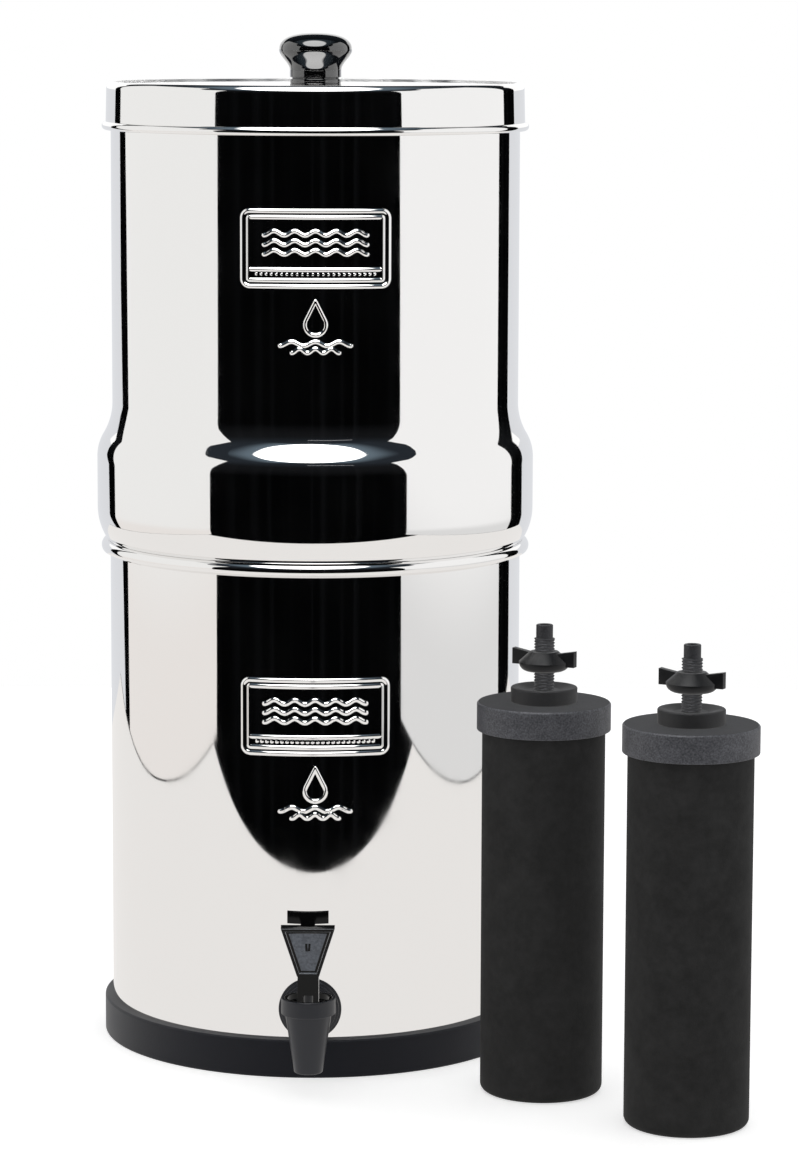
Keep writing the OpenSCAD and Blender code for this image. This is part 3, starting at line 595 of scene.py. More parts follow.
# And on the threaded stem and its tip, set darker than the cap's side: painted shade.
STEM_PAINTED_SHADE = Speckled("glass_filled_polypropylene_stem_painted_shade", "191A1E", "35363B", roughness=0.55)
# Nylon wing nuts: black with a soft sheen.
NUT_PLASTIC = Moulded("moulded_nylon", "0B0C0E", "121316", roughness=0.42, cloud=6, grain=0.7,
                      grain_depth=0.04, specular=0.3)
# Carbon blocks: a dull black that grit and smudges break up.
CARBON = CarbonBlock("pressed_carbon_block")


# ---------------------------------------------------------------- Embossing


@dataclass
class Embossing:
    """Raised lines pressed out of a chamber's wall: a double border, ripples, a bar, beads and a drop."""

    radius: float
    centre_z: float
    height: float = 0.6
    line: float = 1.3
    panel_w: float = 70
    panel_h: float = 36
    panel_r: float = 4
    inset: float = 2.9
    bar_up: float = 8.4
    turn: float = 1.3
    drop_down: float = 35
    drop_r: float = 5.5
    drop_point: float = 2.1
    ripple_w: float = 48
    ripple_gap: float = 4.4
    ripple_waves: int = 5
    bead_pitch: float = 2.4
    bead_r: float = 0.95
    bead_h: float = 0.45
    bead_end: float = 4
    line_edge: float = 1.15
    margin: float = 1.5
    lift: float = 0.035
    sunk: float = 0.4
    pitch: float = 0.32

    def border(self, x: np.ndarray, z: np.ndarray, inset: float) -> np.ndarray:
        """Distance to the middle of a rounded border line.

        Args:
            x: Points' distances sideways.
            z: Points' heights over the panel's centre.
            inset: The line's distance in from the panel's edge.

        Returns:
            The distance of each point.
        """
        d = inset + self.line / 2
        r = max(self.panel_r - d, 0.6)
        qx = np.abs(x) - (self.panel_w / 2 - d - r)
        qz = np.abs(z) - (self.panel_h / 2 - d - r)
        outside = np.hypot(np.maximum(qx, 0), np.maximum(qz, 0))
        return np.abs(outside + np.minimum(np.maximum(qx, qz), 0) - r)

    @staticmethod
    def path(x: np.ndarray, z: np.ndarray, points: Sequence[Point]) -> np.ndarray:
        """Distance to a chain of straight strokes.

        Args:
            x: Points' distances sideways.
            z: Points' heights over the panel's centre.
            points: The chain's ends.

        Returns:
            The distance of each point.
        """
        best = np.full(x.shape, 1e9)
        for a, b in zip(points, points[1:]):
            dx, dz = b[0] - a[0], b[1] - a[1]
            t = np.clip(((x - a[0]) * dx + (z - a[1]) * dz) / (dx * dx + dz * dz), 0, 1)
            best = np.minimum(best, np.hypot(x - a[0] - t * dx, z - a[1] - t * dz))
        return best

    @staticmethod
    def ripple(w: float, waves: int, z: float) -> list[Point]:
        """Points of a ripple of a width, a number of waves and a height."""
        count = 16 * waves
        return [(w * (i / count - 0.5), z + math.cos(2 * math.pi * waves * (i / count - 0.5)))
                for i in range(count + 1)]

    def strokes(self) -> list[list[Point]]:
        """Every stroke inside the panel and under it, in millimetres from its centre."""
        bar_z = self.bar_up - self.panel_h / 2
        half = self.panel_w / 2 - self.inset - self.line / 2
        middle = (bar_z + self.panel_h / 2 - self.inset) / 2
        foot = -self.drop_down
        tip = self.drop_point * self.drop_r - self.line / 2
        side = math.degrees(math.acos(1 / self.drop_point))
        drop = arc(0, foot, self.drop_r - self.line / 2, 90 + side, 450 - side, 24)
        return [
            [(-half, bar_z), (half, bar_z)],
            *(self.ripple(self.ripple_w, self.ripple_waves, middle + row * self.ripple_gap)
              for row in (-1, 0, 1)),
            [(0, foot + tip), *drop, (0, foot + tip)],
            *(self.ripple(wide * self.drop_r, 3, foot - self.drop_r - down * self.line)
              for wide, down in ((6, 2.5), (4, 5))),
        ]

    def relief(self, x: np.ndarray, z: np.ndarray) -> np.ndarray:
        """Height of the embossing over the wall.

        Args:
            x: Points' distances sideways.
            z: Points' heights over the panel's centre.

        Returns:
            The height of each point in millimetres.
        """
        d = np.minimum(self.border(x, z, 0), self.border(x, z, self.inset))
        for stroke in self.strokes():
            d = np.minimum(d, self.path(x, z, stroke))
        beads_z = (self.bar_up - self.panel_h + self.inset + self.line) / 2
        bead = np.hypot(np.abs(x) % self.bead_pitch - self.bead_pitch / 2, z - beads_z)
        bead[np.abs(x) > self.panel_w / 2 - self.inset - self.bead_end] = np.inf
        low = np.cos(np.pi / 2 * np.clip(bead / self.bead_r, 0, 1)) ** 2 * self.bead_h
        high = np.cos(np.pi / 2 * np.clip(d / self.line * self.line_edge, 0, 1)) ** 2 * self.height
        return np.maximum(high, low)

    def build(self, name: str) -> Piece:
        """Models the embossed sheet as a closed skin that lies on the wall.

        Args:
            name: The piece's name.

        Returns:
            The piece.
        """
        low = -self.drop_down - self.drop_r - 8.5 * self.line
        high = self.panel_h / 2 + self.margin
        width = self.panel_w + 2 * self.margin
        nx, nz = round(width / self.pitch), round((high - low) / self.pitch)
        deselect()
        bpy.ops.mesh.primitive_grid_add(x_subdivisions=nx, y_subdivisions=nz, size=1, location=(0, 0, 0))
        piece = bpy.context.object
        piece.name = piece.data.name = name
        bpy.ops.object.mode_set(mode="EDIT")
        bpy.ops.mesh.select_all(action="SELECT")
        bpy.ops.mesh.extrude_region_move(TRANSFORM_OT_translate={"value": (0, 0, 1)})
        bpy.ops.object.mode_set(mode="OBJECT")
        co = np.zeros(len(piece.data.vertices) * 3)
        piece.data.vertices.foreach_get("co", co)
        co = co.reshape(-1, 3)
        x, z = co[:, 0] * width, low + (co[:, 1] + 0.5) * (high - low)
        depth = np.where(co[:, 2] > 0.5, self.lift + self.relief(x, z), -self.sunk)
        around = x / self.radius + math.radians(self.turn)
        r = self.radius + depth
        place = np.stack([r * np.sin(around), -r * np.cos(around), self.centre_z + z], 1) * MM
        piece.data.vertices.foreach_set("co", place.ravel())
        piece.data.update()
        activate(piece)
        bpy.ops.object.mode_set(mode="EDIT")
        bpy.ops.mesh.select_all(action="SELECT")
        bpy.ops.mesh.normals_make_consistent(inside=False)
        bpy.ops.object.mode_set(mode="OBJECT")
        return smooth(piece, 50)


# ---------------------------------------------------------------- Chambers


@dataclass
class LowerChamber:
    """The lower can with its rolled rim, on its rubber base ring."""

    radius: float = 100
    floor_z: float = 5
    rim_z: float = 245
    sheet: float = 1
    corner: float = 3.4
    roll_r: float = 3.4
    roll_h: float = 6.8
    roll_x: float = 100.9
    edge_x: float = 100.4
    tap_z: float = 34
    tap_hole_r: float = 7.4
    base_h: float = 18.2
    base_r: float = 103.9
    base_inner_r: float = 85
    base_chamfer: float = 0.8
    panel_z: float = 172.5

    def section(self) -> list[Point]:
        """Section of the can, from the axis under its floor round the rim and back inside."""
        r, t, c, z = self.radius, self.sheet, self.corner, self.floor_z
        roll_z = self.rim_z - self.roll_r
        return [
            (0, z), *arc(r - c, z + c, c, -90, 0, 10),
            (r, self.rim_z - t), *arc(self.roll_x, roll_z, self.roll_r - t, 90, -35, 12),
            (self.edge_x, self.rim_z - self.roll_h + t), (self.edge_x, self.rim_z - self.roll_h),
            *arc(self.roll_x, roll_z, self.roll_r, -35, 90, 24),
            (r - t, self.rim_z), *arc(r - c, z + c, c - t, 0, -90, 8), (0, z + t),
        ]

    def build(self) -> None:
        """Models the can, its embossing and the base ring."""
        can = turned("lower_can", self.section(), 256)
        bore = laid(rod(self.tap_hole_r, self.radius - 20, self.radius + 20), self.tap_z)
        can = smooth(combined(can, bore, Boolean.CUT))
        seat(can, Body.LOWER, Slot.POLISHED_STEEL, MIRROR, "lower_chamber")
        embossing = Embossing(self.radius, self.panel_z).build("lower_embossing")
        seat(embossing, Body.LOWER, Slot.POLISHED_STEEL, MIRROR)
        ring = rounded([
            (self.base_inner_r, 0, 0.5), (self.base_r, 0, 1.0),
            (self.base_r, self.base_h - self.base_chamfer, 0.5),
            (self.base_r - self.base_chamfer, self.base_h, 0.5), (self.radius, self.base_h, 0),
            (self.radius, self.floor_z, 0), (self.base_inner_r, self.floor_z, 0.5)])
        ring_piece = turned("base_ring_moulding", ring, 256, closed=True)
        seat(ring_piece, Body.LOWER, Slot.BASE_RUBBER, BASE_RUBBER, "base_ring")


@dataclass
class UpperChamber:
    """The upper can: collar, shoulder, bulge, flare, tall wall and a small bead at its mouth."""

    radius: float = 98.7
    collar_r: float = 98.6
    bulge_r: float = 106.15
    floor_z: float = 233.2
    seat_z: float = 245
    rim_z: float = 464
    sheet: float = 1
    corner: float = 3.4
    shoulder_h: float = 15.4
    shoulder_r: float = 28
    bulge_h: float = 24.6
    flare_low_r: float = 21
    flare_top_r: float = 30
    bead_r: float = 1.5
    bead_out: float = 1
    land: float = 1.1
    panel_z: float = 391.0
    hole_circle: float = 52
    hole_r: float = 5.25

    def skin(self, d: float) -> list[Point]:
        """Outline of the can from its floor to the bead.

        Args:
            d: Depth inside the outer face.

        Returns:
            The outline.
        """
        low = self.seat_z + self.shoulder_h
        top = low + self.bulge_h
        curves = self.flare_low_r + self.flare_top_r
        lean = math.degrees(math.acos(1 - (self.bulge_r - self.radius) / curves))
        rise = curves * math.sin(math.radians(lean))
        start = -math.degrees(math.asin((self.shoulder_h - d) / (self.shoulder_r - d)))
        return [
            *arc(self.collar_r - self.corner, self.floor_z + self.corner, self.corner - d, -90, 0, 8),
            (self.collar_r - d, self.seat_z + d),
            *arc(self.bulge_r - self.shoulder_r, low, self.shoulder_r - d, start, 0, 24),
            *arc(self.bulge_r - self.flare_low_r, top, self.flare_low_r - d, 0, lean, 20),
            *arc(self.radius + self.flare_top_r, top + rise, self.flare_top_r + d, 180 + lean, 180, 20),
        ]

    def section(self) -> list[Point]:
        """The whole section of the can."""
        x = self.radius + self.bead_out - self.bead_r
        land = math.degrees(math.acos(self.land / 2 / self.bead_r))
        z = self.rim_z - self.bead_r * math.sin(math.radians(land))
        outer = math.degrees(math.acos((self.radius - x) / self.bead_r))
        inner = math.degrees(math.acos((self.radius - self.sheet - x) / self.bead_r))
        return [
            (0, self.floor_z), *self.skin(0), *arc(x, z, self.bead_r, -outer, land, 10),
            *arc(x, z, self.bead_r, 180 - land, 360 - inner, 10), *reversed(self.skin(self.sheet)),
            (0, self.floor_z + self.sheet),
        ]

    def build(self) -> None:
        """Models the can with the holes in its floor, and its embossing."""
        can = turned("upper_can", self.section(), 256)
        for angle in (45, 135, 225, 315):
            bore = rod(self.hole_r, self.floor_z - 2, self.floor_z + 3, 48)
            a = math.radians(angle)
            place = (self.hole_circle * MM * math.cos(a), self.hole_circle * MM * math.sin(a), 0)
            can = combined(can, placed(bore, Matrix.Translation(place)), Boolean.CUT)
        seat(smooth(can), Body.UPPER, Slot.POLISHED_STEEL, MIRROR, "upper_chamber")
        embossing = Embossing(self.radius, self.panel_z).build("upper_embossing")
        seat(embossing, Body.UPPER, Slot.POLISHED_STEEL, MIRROR)


@dataclass
class Lid:
    """The lid with its crest and wired hem, its knob and the ring under the knob."""

    radius: float = 100.9
    top_z: float = 464.9
    sheet: float = 0.9
    height: float = 22.15
    crest: float = 0.7
    corner: float = 3.2
    hem_r: float = 1.95
    hem_out: float = 1.9
    splay: float = 0.2
    screw_r: float = 2.05
    knob_r: float = 17.6
    neck_r: float = 12.4
    ring_z: float = 467.2
    knob_h: float = 22.1
    knob_bore_h: float = 12
    groove: float = 0.9
    chamfer: float = 0.2
    crown_h: float = 8.1
    crown_power: float = 0.83
    waist_h: float = 10
    knob_steps: int = 24

    def skin(self, d: float) -> list[Point]:
        """Outline of the lid from its top to its skirt, d inside its outer face."""
        x = self.radius - self.splay - self.corner
        return [
            (x - 2 * self.crest, self.top_z - d), (x - 0.6 * self.crest, self.top_z + self.crest - d),
            *arc(x, self.top_z + self.crest - self.corner, self.corner - d, 90, 0, 10),
        ]

    def section(self) -> list[Point]:
        """The whole section of the lid, with its screw hole."""
        z = self.top_z - self.height + self.hem_r
        foot = self.radius + self.splay
        x = foot + self.hem_out - self.hem_r
        outer = math.degrees(math.acos((foot - x) / self.hem_r))
        inner = math.degrees(math.acos(max(foot - self.sheet - x, -self.hem_r) / self.hem_r))
        return [
            (self.screw_r, self.top_z), *self.skin(0), *arc(x, z, self.hem_r, outer, -inner, 28),
            *reversed(self.skin(self.sheet)), (self.screw_r, self.top_z - self.sheet),
        ]

    def knob_section(self) -> list[Point]:
        """The knob's section, from the screw's hole round the outside to the crown."""
        z, r, c, count = self.ring_z, self.neck_r, self.chamfer, self.knob_steps
        top = z + self.knob_h
        wide = top - self.crown_h
        bore = z + self.knob_bore_h
        under = r - self.groove
        crown = []
        for i in range(count + 1):
            a = math.radians(84 * i / count)
            crown.append((self.knob_r * math.cos(a) ** self.crown_power,
                          wide + self.crown_h * math.sin(a) ** self.crown_power))
        waist = [(r + (self.knob_r - r) * (1 + math.cos(math.pi * i / count)) / 2,
                  wide - self.waist_h * i / count) for i in range(count, 0, -1)]
        return [
            (0, bore), (self.screw_r, bore), (self.screw_r, z), (under - c, z), (under, z + c),
            (under, z + 3 * c), (under + c, z + self.groove - c), (r - c, z + self.groove - c),
            (r, z + self.groove), *waist, *crown, (0, top),
        ]

    def build(self) -> None:
        """Models the lid, the ring and the knob."""
        lid = turned("lid_pressing", self.section(), 256, closed=True)
        seat(lid, Body.COVER, Slot.POLISHED_STEEL, MIRROR, "lid")
        lid.data.materials.append(SCUFFED_STEEL.material())
        # The crest's inner slope, which leans towards the axis, is the scuffed part.
        for polygon in lid.data.polygons:
            if polygon.center.z / MM > self.top_z + 0.05 and 0.5 < polygon.normal.z < 0.95:
                inward = polygon.normal.x * polygon.center.x + polygon.normal.y * polygon.center.y < 0
                polygon.material_index = int(inward)
        ring = rounded([(self.screw_r, self.top_z, 0), (self.neck_r, self.top_z, 0.3),
                        (self.neck_r, self.ring_z, 0.3), (self.screw_r, self.ring_z, 0)])
        ring_piece = turned("knob_ring_moulding", ring, 96, closed=True)
        seat(ring_piece, Body.COVER, Slot.KNOB_PLASTIC, KNOB_PLASTIC, "knob_ring")
        knob = turned("knob_turning", self.knob_section())
        seat(knob, Body.COVER, Slot.KNOB_PLASTIC, KNOB_PLASTIC, "lid_knob")


# ---------------------------------------------------------------- Tap


@dataclass
class Tap:
    """The tap: body with flange, barrel and spout, the dished bonnet, and the lever over it."""

    axis_y: float = -136.4
    tap_z: float = 34
    tip_z: float = 12
    tip_r: float = 6.95
    top_r: float = 10.8
    band_r: float = 12.55
    band_low: float = 39.9
    band_top: float = 47.4
    shank_y: float = 84
    shank_r: float = 7.2
    flange: tuple[Corner, ...] = (
        (14.8, 104.2, 0.3), (14.8, 105.4, 0.3), (13.6, 105.4, 0.2), (13.6, 106.3, 0.3), (12.3, 106.3, 0.2),
        (12.3, 107.2, 0.4))
    barrel_r: float = 9.5
    waterway_r: float = 4
    seat_z: float = 27
    chamber_r: float = 8.2
    outlet_r: float = 4.8
    bonnet_z: float = 42.4
    dish_z: float = 44.9
    dish_r: float = 9.6
    bonnet_r: float = 11.2
    bonnet_gap: float = 0.05
    stem_hole_r: float = 2.15
    spigot_r: float = 8.15
    spigot_in_r: float = 6.35
    spigot_h: float = 3
    paddle_z: float = 59.1
    paddle_y: float = -144.6
    paddle_l: float = 24.3
    paddle_low_w: float = 10.2
    paddle_top_w: float = 24.8
    border: float = 2.3
    pad_face: Point = (-0.9, -0.2)
    border_low: float = -0.4
    end_gap: float = 0.5
    lean: float = 13
    overcut: float = 12.6

    def stand(self, piece: Piece) -> Piece:
        """Moves a piece turned round the world's axis onto the spout's axis."""
        return placed(piece, Matrix.Translation((0, self.axis_y * MM, 0)))

    def body(self) -> Piece:
        """The tap's body: spout and barrel in one, bored through."""
        end, top = -self.axis_y, self.band_top + self.overcut
        spout = [(0, self.tip_z), *rounded([
            (self.tip_r - 0.3, self.tip_z, 0.7), (self.top_r, self.band_low, 0.25),
            (self.band_r, self.band_low, 0.35), (self.band_r, self.band_top, 0.35), (0.01, self.band_top, 0),
            (0.01, self.tip_z, 0)])[:-1], (0, self.band_top)]
        barrel = [(0, self.shank_y), *rounded([
            (self.shank_r, self.shank_y, 0.5), (self.shank_r, self.flange[0][1], 0), *self.flange,
            (self.barrel_r, self.flange[-1][1], 0.5), (self.barrel_r, end, 0), (0.01, end, 0),
            (0.01, self.shank_y, 0)])[:-1], (0, end)]
        piece = self.stand(turned("tap_moulding", spout, 96))
        piece = combined(piece, laid(turned("barrel", barrel, 96), self.tap_z), Boolean.ADD)
        for bore in (laid(rod(self.waterway_r, self.shank_y - 4, end, 48), self.tap_z),
                     self.stand(rod(self.chamber_r, self.seat_z, top)),
                     self.stand(rod(self.bonnet_r + self.bonnet_gap, self.bonnet_z, top, 96)),
                     self.stand(rod(self.outlet_r, 0, self.seat_z + 3, 48))):
            piece = combined(piece, bore, Boolean.CUT)
        return smooth(piece, 40)

    def bonnet(self) -> Piece:
        """The bonnet, sunk into the band and dished on top, with its spigot."""
        top, dish, low, foot = self.band_top, self.dish_z, self.bonnet_z, self.bonnet_z - self.spigot_h
        section = rounded([
            (self.stem_hole_r, dish, 0.15), (self.dish_r, dish, 0.5), (self.dish_r, top, 0.5),
            (self.bonnet_r, top, 0.3), (self.bonnet_r, low, 0.2), (self.spigot_r, low, 0),
            (self.spigot_r, foot, 0.3), (self.spigot_in_r, foot, 0.2), (self.spigot_in_r, low, 0.3),
            (self.stem_hole_r, low, 0.1)])
        return self.stand(turned("bonnet_moulding", section, 96, closed=True))

    def dress_lever(self, lever: Piece) -> None:
        """Gives the pad its grained finish, and the frame's edges their painted highlight.

        Args:
            lever: The lever's piece.
        """
        lever.data.materials.append(GRIP_ABS.material())
        # The third slot is a painted highlight: pale grey on the frame's side faces, where light catches its
        # edges.
        lever.data.materials.append(EDGE_HIGHLIGHT_ABS.material())
        lean = math.radians(self.lean)
        out = Vector((0, -math.cos(lean), -math.sin(lean)))
        face = Vector((0, self.paddle_y * MM, self.paddle_z * MM))
        up = Vector((0, -math.sin(lean), math.cos(lean)))
        slope = (self.paddle_top_w - self.paddle_low_w) / 2 / self.paddle_l
        for polygon in lever.data.polygons:
            gap = (polygon.center - face).dot(out) / MM
            along = (polygon.center - face).dot(up) / MM
            if not -self.end_gap < along < self.paddle_l + self.end_gap:
                continue
            side = self.paddle_low_w / 2 + slope * along - abs(polygon.center.x) / MM
            if side > self.border and self.pad_face[0] < gap < self.pad_face[1]:
                polygon.material_index = 1
            elif gap > self.border_low and abs(polygon.normal.dot(out)) < 0.95:
                polygon.material_index = 2

    def build(self) -> None:
        """Models the tap's pieces."""
        seat(self.body(), Body.LOWER, Slot.TAP_PLASTIC, TAP_PLASTIC, "tap_body")
        seat(self.bonnet(), Body.LOWER, Slot.TAP_PLASTIC, GLOSSY_ABS, "tap_bonnet")
        lever = softened("lever_handle", "lever_moulding", 0.32, 2)
        self.dress_lever(seat(lever, Body.LEVER, Slot.TAP_PLASTIC, GLOSSY_ABS, "lever_handle"))


# ---------------------------------------------------------------- Filter elements


@dataclass
class FilterElement:
    """One filter element: carbon block, cap with threaded stem, washer and wing nut."""

    length: float = 184
    carbon_r: float = 28.5
    edge_r: float = 3.5
    cap_r: float = 31
    cap_h: float = 13
    stem_r: float = 4.8
    stem_l: float = 36
    tip_l: float = 6.5
    tip_r: float = 3.9
    bore_r: float = 2.4
    pitch: float = 1.4
    thread_d: float = 0.6
    thread_in: float = 2
    thread_out: float = 0.8
    washer_r: float = 15.4
    washer_t: float = 7
    dish: float = 1.6
    cap_t: float = 3
    core_r: float = 6
    core_z: float = 15
    ring_gap: float = 0.26
    hung_z: float = 425.2
    hung_out: float = 36.7696
    standing_a: Point = (108.4326, -120.4266)
    standing_b: Point = (172.5688, -177.5699)

    def carbon(self) -> Piece:
        """The carbon block with its closed foot and hollow core."""
        top = self.length - self.cap_t
        return turned("carbon", [
            (0, 0), *arc(self.carbon_r - self.edge_r, self.edge_r, self.edge_r, -90, 0, 10),
            (self.carbon_r, top), (self.core_r, top), (self.core_r, self.core_z), (0, self.core_z)])

    def stem(self) -> Piece:
        """The stem with a rolled thread up to its smooth tip, bored through."""
        low, high = self.length - self.cap_t / 2, self.length + self.stem_l - self.tip_l
        rings = [(self.stem_r, low + self.ring_gap * i) for i in range(int((high - low) / self.ring_gap))]
        stem = turned("stem", [
            (self.bore_r, low), *rings, (self.stem_r, high), (self.tip_r, high + 0.3),
            *rounded([(self.tip_r, high + 0.3, 0), (self.tip_r, self.length + self.stem_l, 0.5),
                      (self.bore_r, self.length + self.stem_l, 0.3), (self.bore_r, high, 0)])[1:-1],
        ], 72, closed=True, gap=5)
        co = np.zeros(len(stem.data.vertices) * 3)
        stem.data.vertices.foreach_get("co", co)
        co = co.reshape(-1, 3) / MM
        r, z = np.hypot(co[:, 0], co[:, 1]), co[:, 2]
        phase = 2 * np.pi * z / self.pitch - np.arctan2(co[:, 1], co[:, 0])
        fade = np.clip((z - self.length) / self.thread_in - 1, 0, 1)
        fade *= np.clip((high - z) / self.thread_out, 0, 1)
        cut = np.where(r > self.stem_r - 0.01, self.thread_d * (0.5 - 0.5 * np.cos(phase)) * fade, 0)
        co[:, :2] *= ((r - cut) / r)[:, None]
        stem.data.vertices.foreach_set("co", (co * MM).ravel())
        return smooth(stem, 60)

    def cap(self) -> Piece:
        """The cap and its stem in one piece."""
        top = self.length
        section = rounded([
            (self.bore_r, top - self.cap_t, 0), (self.carbon_r, top - self.cap_t, 0),
            (self.carbon_r, top - self.cap_h, 0.2),
            (self.cap_r, top - self.cap_h, 0.4), (self.cap_r, top - 0.8, 0.5), (self.cap_r - 0.8, top, 0.5),
            (self.bore_r, top, 0)])
        cap = turned("cap", section, 160, closed=True)
        stem = self.stem()
        activate(cap)
        stem.select_set(True)
        bpy.ops.object.join()
        for finish in (CAP_PLASTIC, CAP_FACE_PAINTED_SHADE, STEM_PAINTED_SHADE):
            cap.data.materials.append(finish.material())
        # The flat face is rougher and painted darker than the cap's side as shade, and the stem over it is
        # painted darker as shade too.
        for polygon in cap.data.polygons:
            rise = polygon.center.z / MM - top
            if polygon.normal.z > 0.9 and abs(rise) < 0.1:
                polygon.material_index = 1
            elif rise > 0.2:
                polygon.material_index = 2
        return cap

    def washer(self) -> Piece:
        """The sealing washer with its dished top."""
        low, r, t = self.length, self.washer_r, self.washer_t
        return turned("washer", rounded([
            (self.stem_r, low, 0), (r, low, 0.6), (r, low + t, 0.8), (r - 2.2, low + t, 0.6),
            (1.6 * self.stem_r, low + t - self.dish, 0.8), (self.stem_r, low + t - self.dish, 0)]),
            closed=True)

    def build(self) -> None:
        """Models one element and sets its copies up in both chambers' places."""
        parts = {"carbon": self.carbon(), "cap": self.cap(), "washer": self.washer()}
        finishes = {
            "carbon": (Slot.CARBON_BLOCK, CARBON), "cap": (Slot.CAP_PLASTIC, CAP_PLASTIC),
            "washer": (Slot.GASKET_RUBBER, GASKET_RUBBER)}
        stand = Matrix.Identity(4)
        hang = Matrix.Translation((0, 0, self.hung_z * MM)) @ Matrix.Rotation(math.pi, 4, "X")
        out = self.hung_out
        places = {
            "standing_a": (Body.ELEMENT_A, Body.STANDING_NUT_A, self.standing_a, stand),
            "standing_b": (Body.ELEMENT_B, Body.STANDING_NUT_B, self.standing_b, stand),
            "fitted_a": (Body.UPPER, Body.FITTED_NUT_A, (out, out), hang),
            "fitted_b": (Body.UPPER, Body.FITTED_NUT_B, (-out, -out), hang),
        }
        for place, (body, nut_body, (x, y), way_up) in places.items():
            matrix = Matrix.Translation((x * MM, y * MM, 0)) @ way_up
            for part, piece in parts.items():
                slot, finish = finishes[part]
                seat(copied(piece, f"{place}_{part}_piece", matrix), body, slot, finish, f"{place}_{part}")
            nut = softened(f"{place}_wing_nut", f"{place}_wing_nut_piece", 0.35, 3)
            seat(nut, nut_body, Slot.NUT_PLASTIC, NUT_PLASTIC, f"{place}_wing_nut")
        for piece in parts.values():
            bpy.data.objects.remove(piece)


# ---------------------------------------------------------------- Kept nodes and reflections


def quiet_reflections() -> None:
    """Keeps the loose elements and the tap out of the mirror steel, so that it shows the studio alone."""
    for item in bpy.data.objects:
        if item.type == "MESH" and item.name.startswith(("standing_", "tap_", "lever_", "bonnet_")):
            item.visible_glossy = False


def dress_nodes() -> None:
    """Gives the CAD nodes that stay their finishes."""
    kept = {
        "tap_outer_gasket": GASKET_RUBBER, "tap_inner_gasket": GASKET_RUBBER, "tap_nut": TAP_PLASTIC,
        "valve_stem": TAP_PLASTIC, "seat_cup": SILICONE, "lever_pin": TURNED_STEEL,
        "blocking_plugs": GASKET_RUBBER, "knob_screw": TURNED_STEEL, "knob_washer": TURNED_STEEL,
    }
    for name, finish in kept.items():
        node = frame["nodes"][name]
        node.data.materials.clear()
        node.data.materials.append(finish.material())
        log.info("%s: kept, %s", name, finish.name)


# ---------------------------------------------------------------- Studio


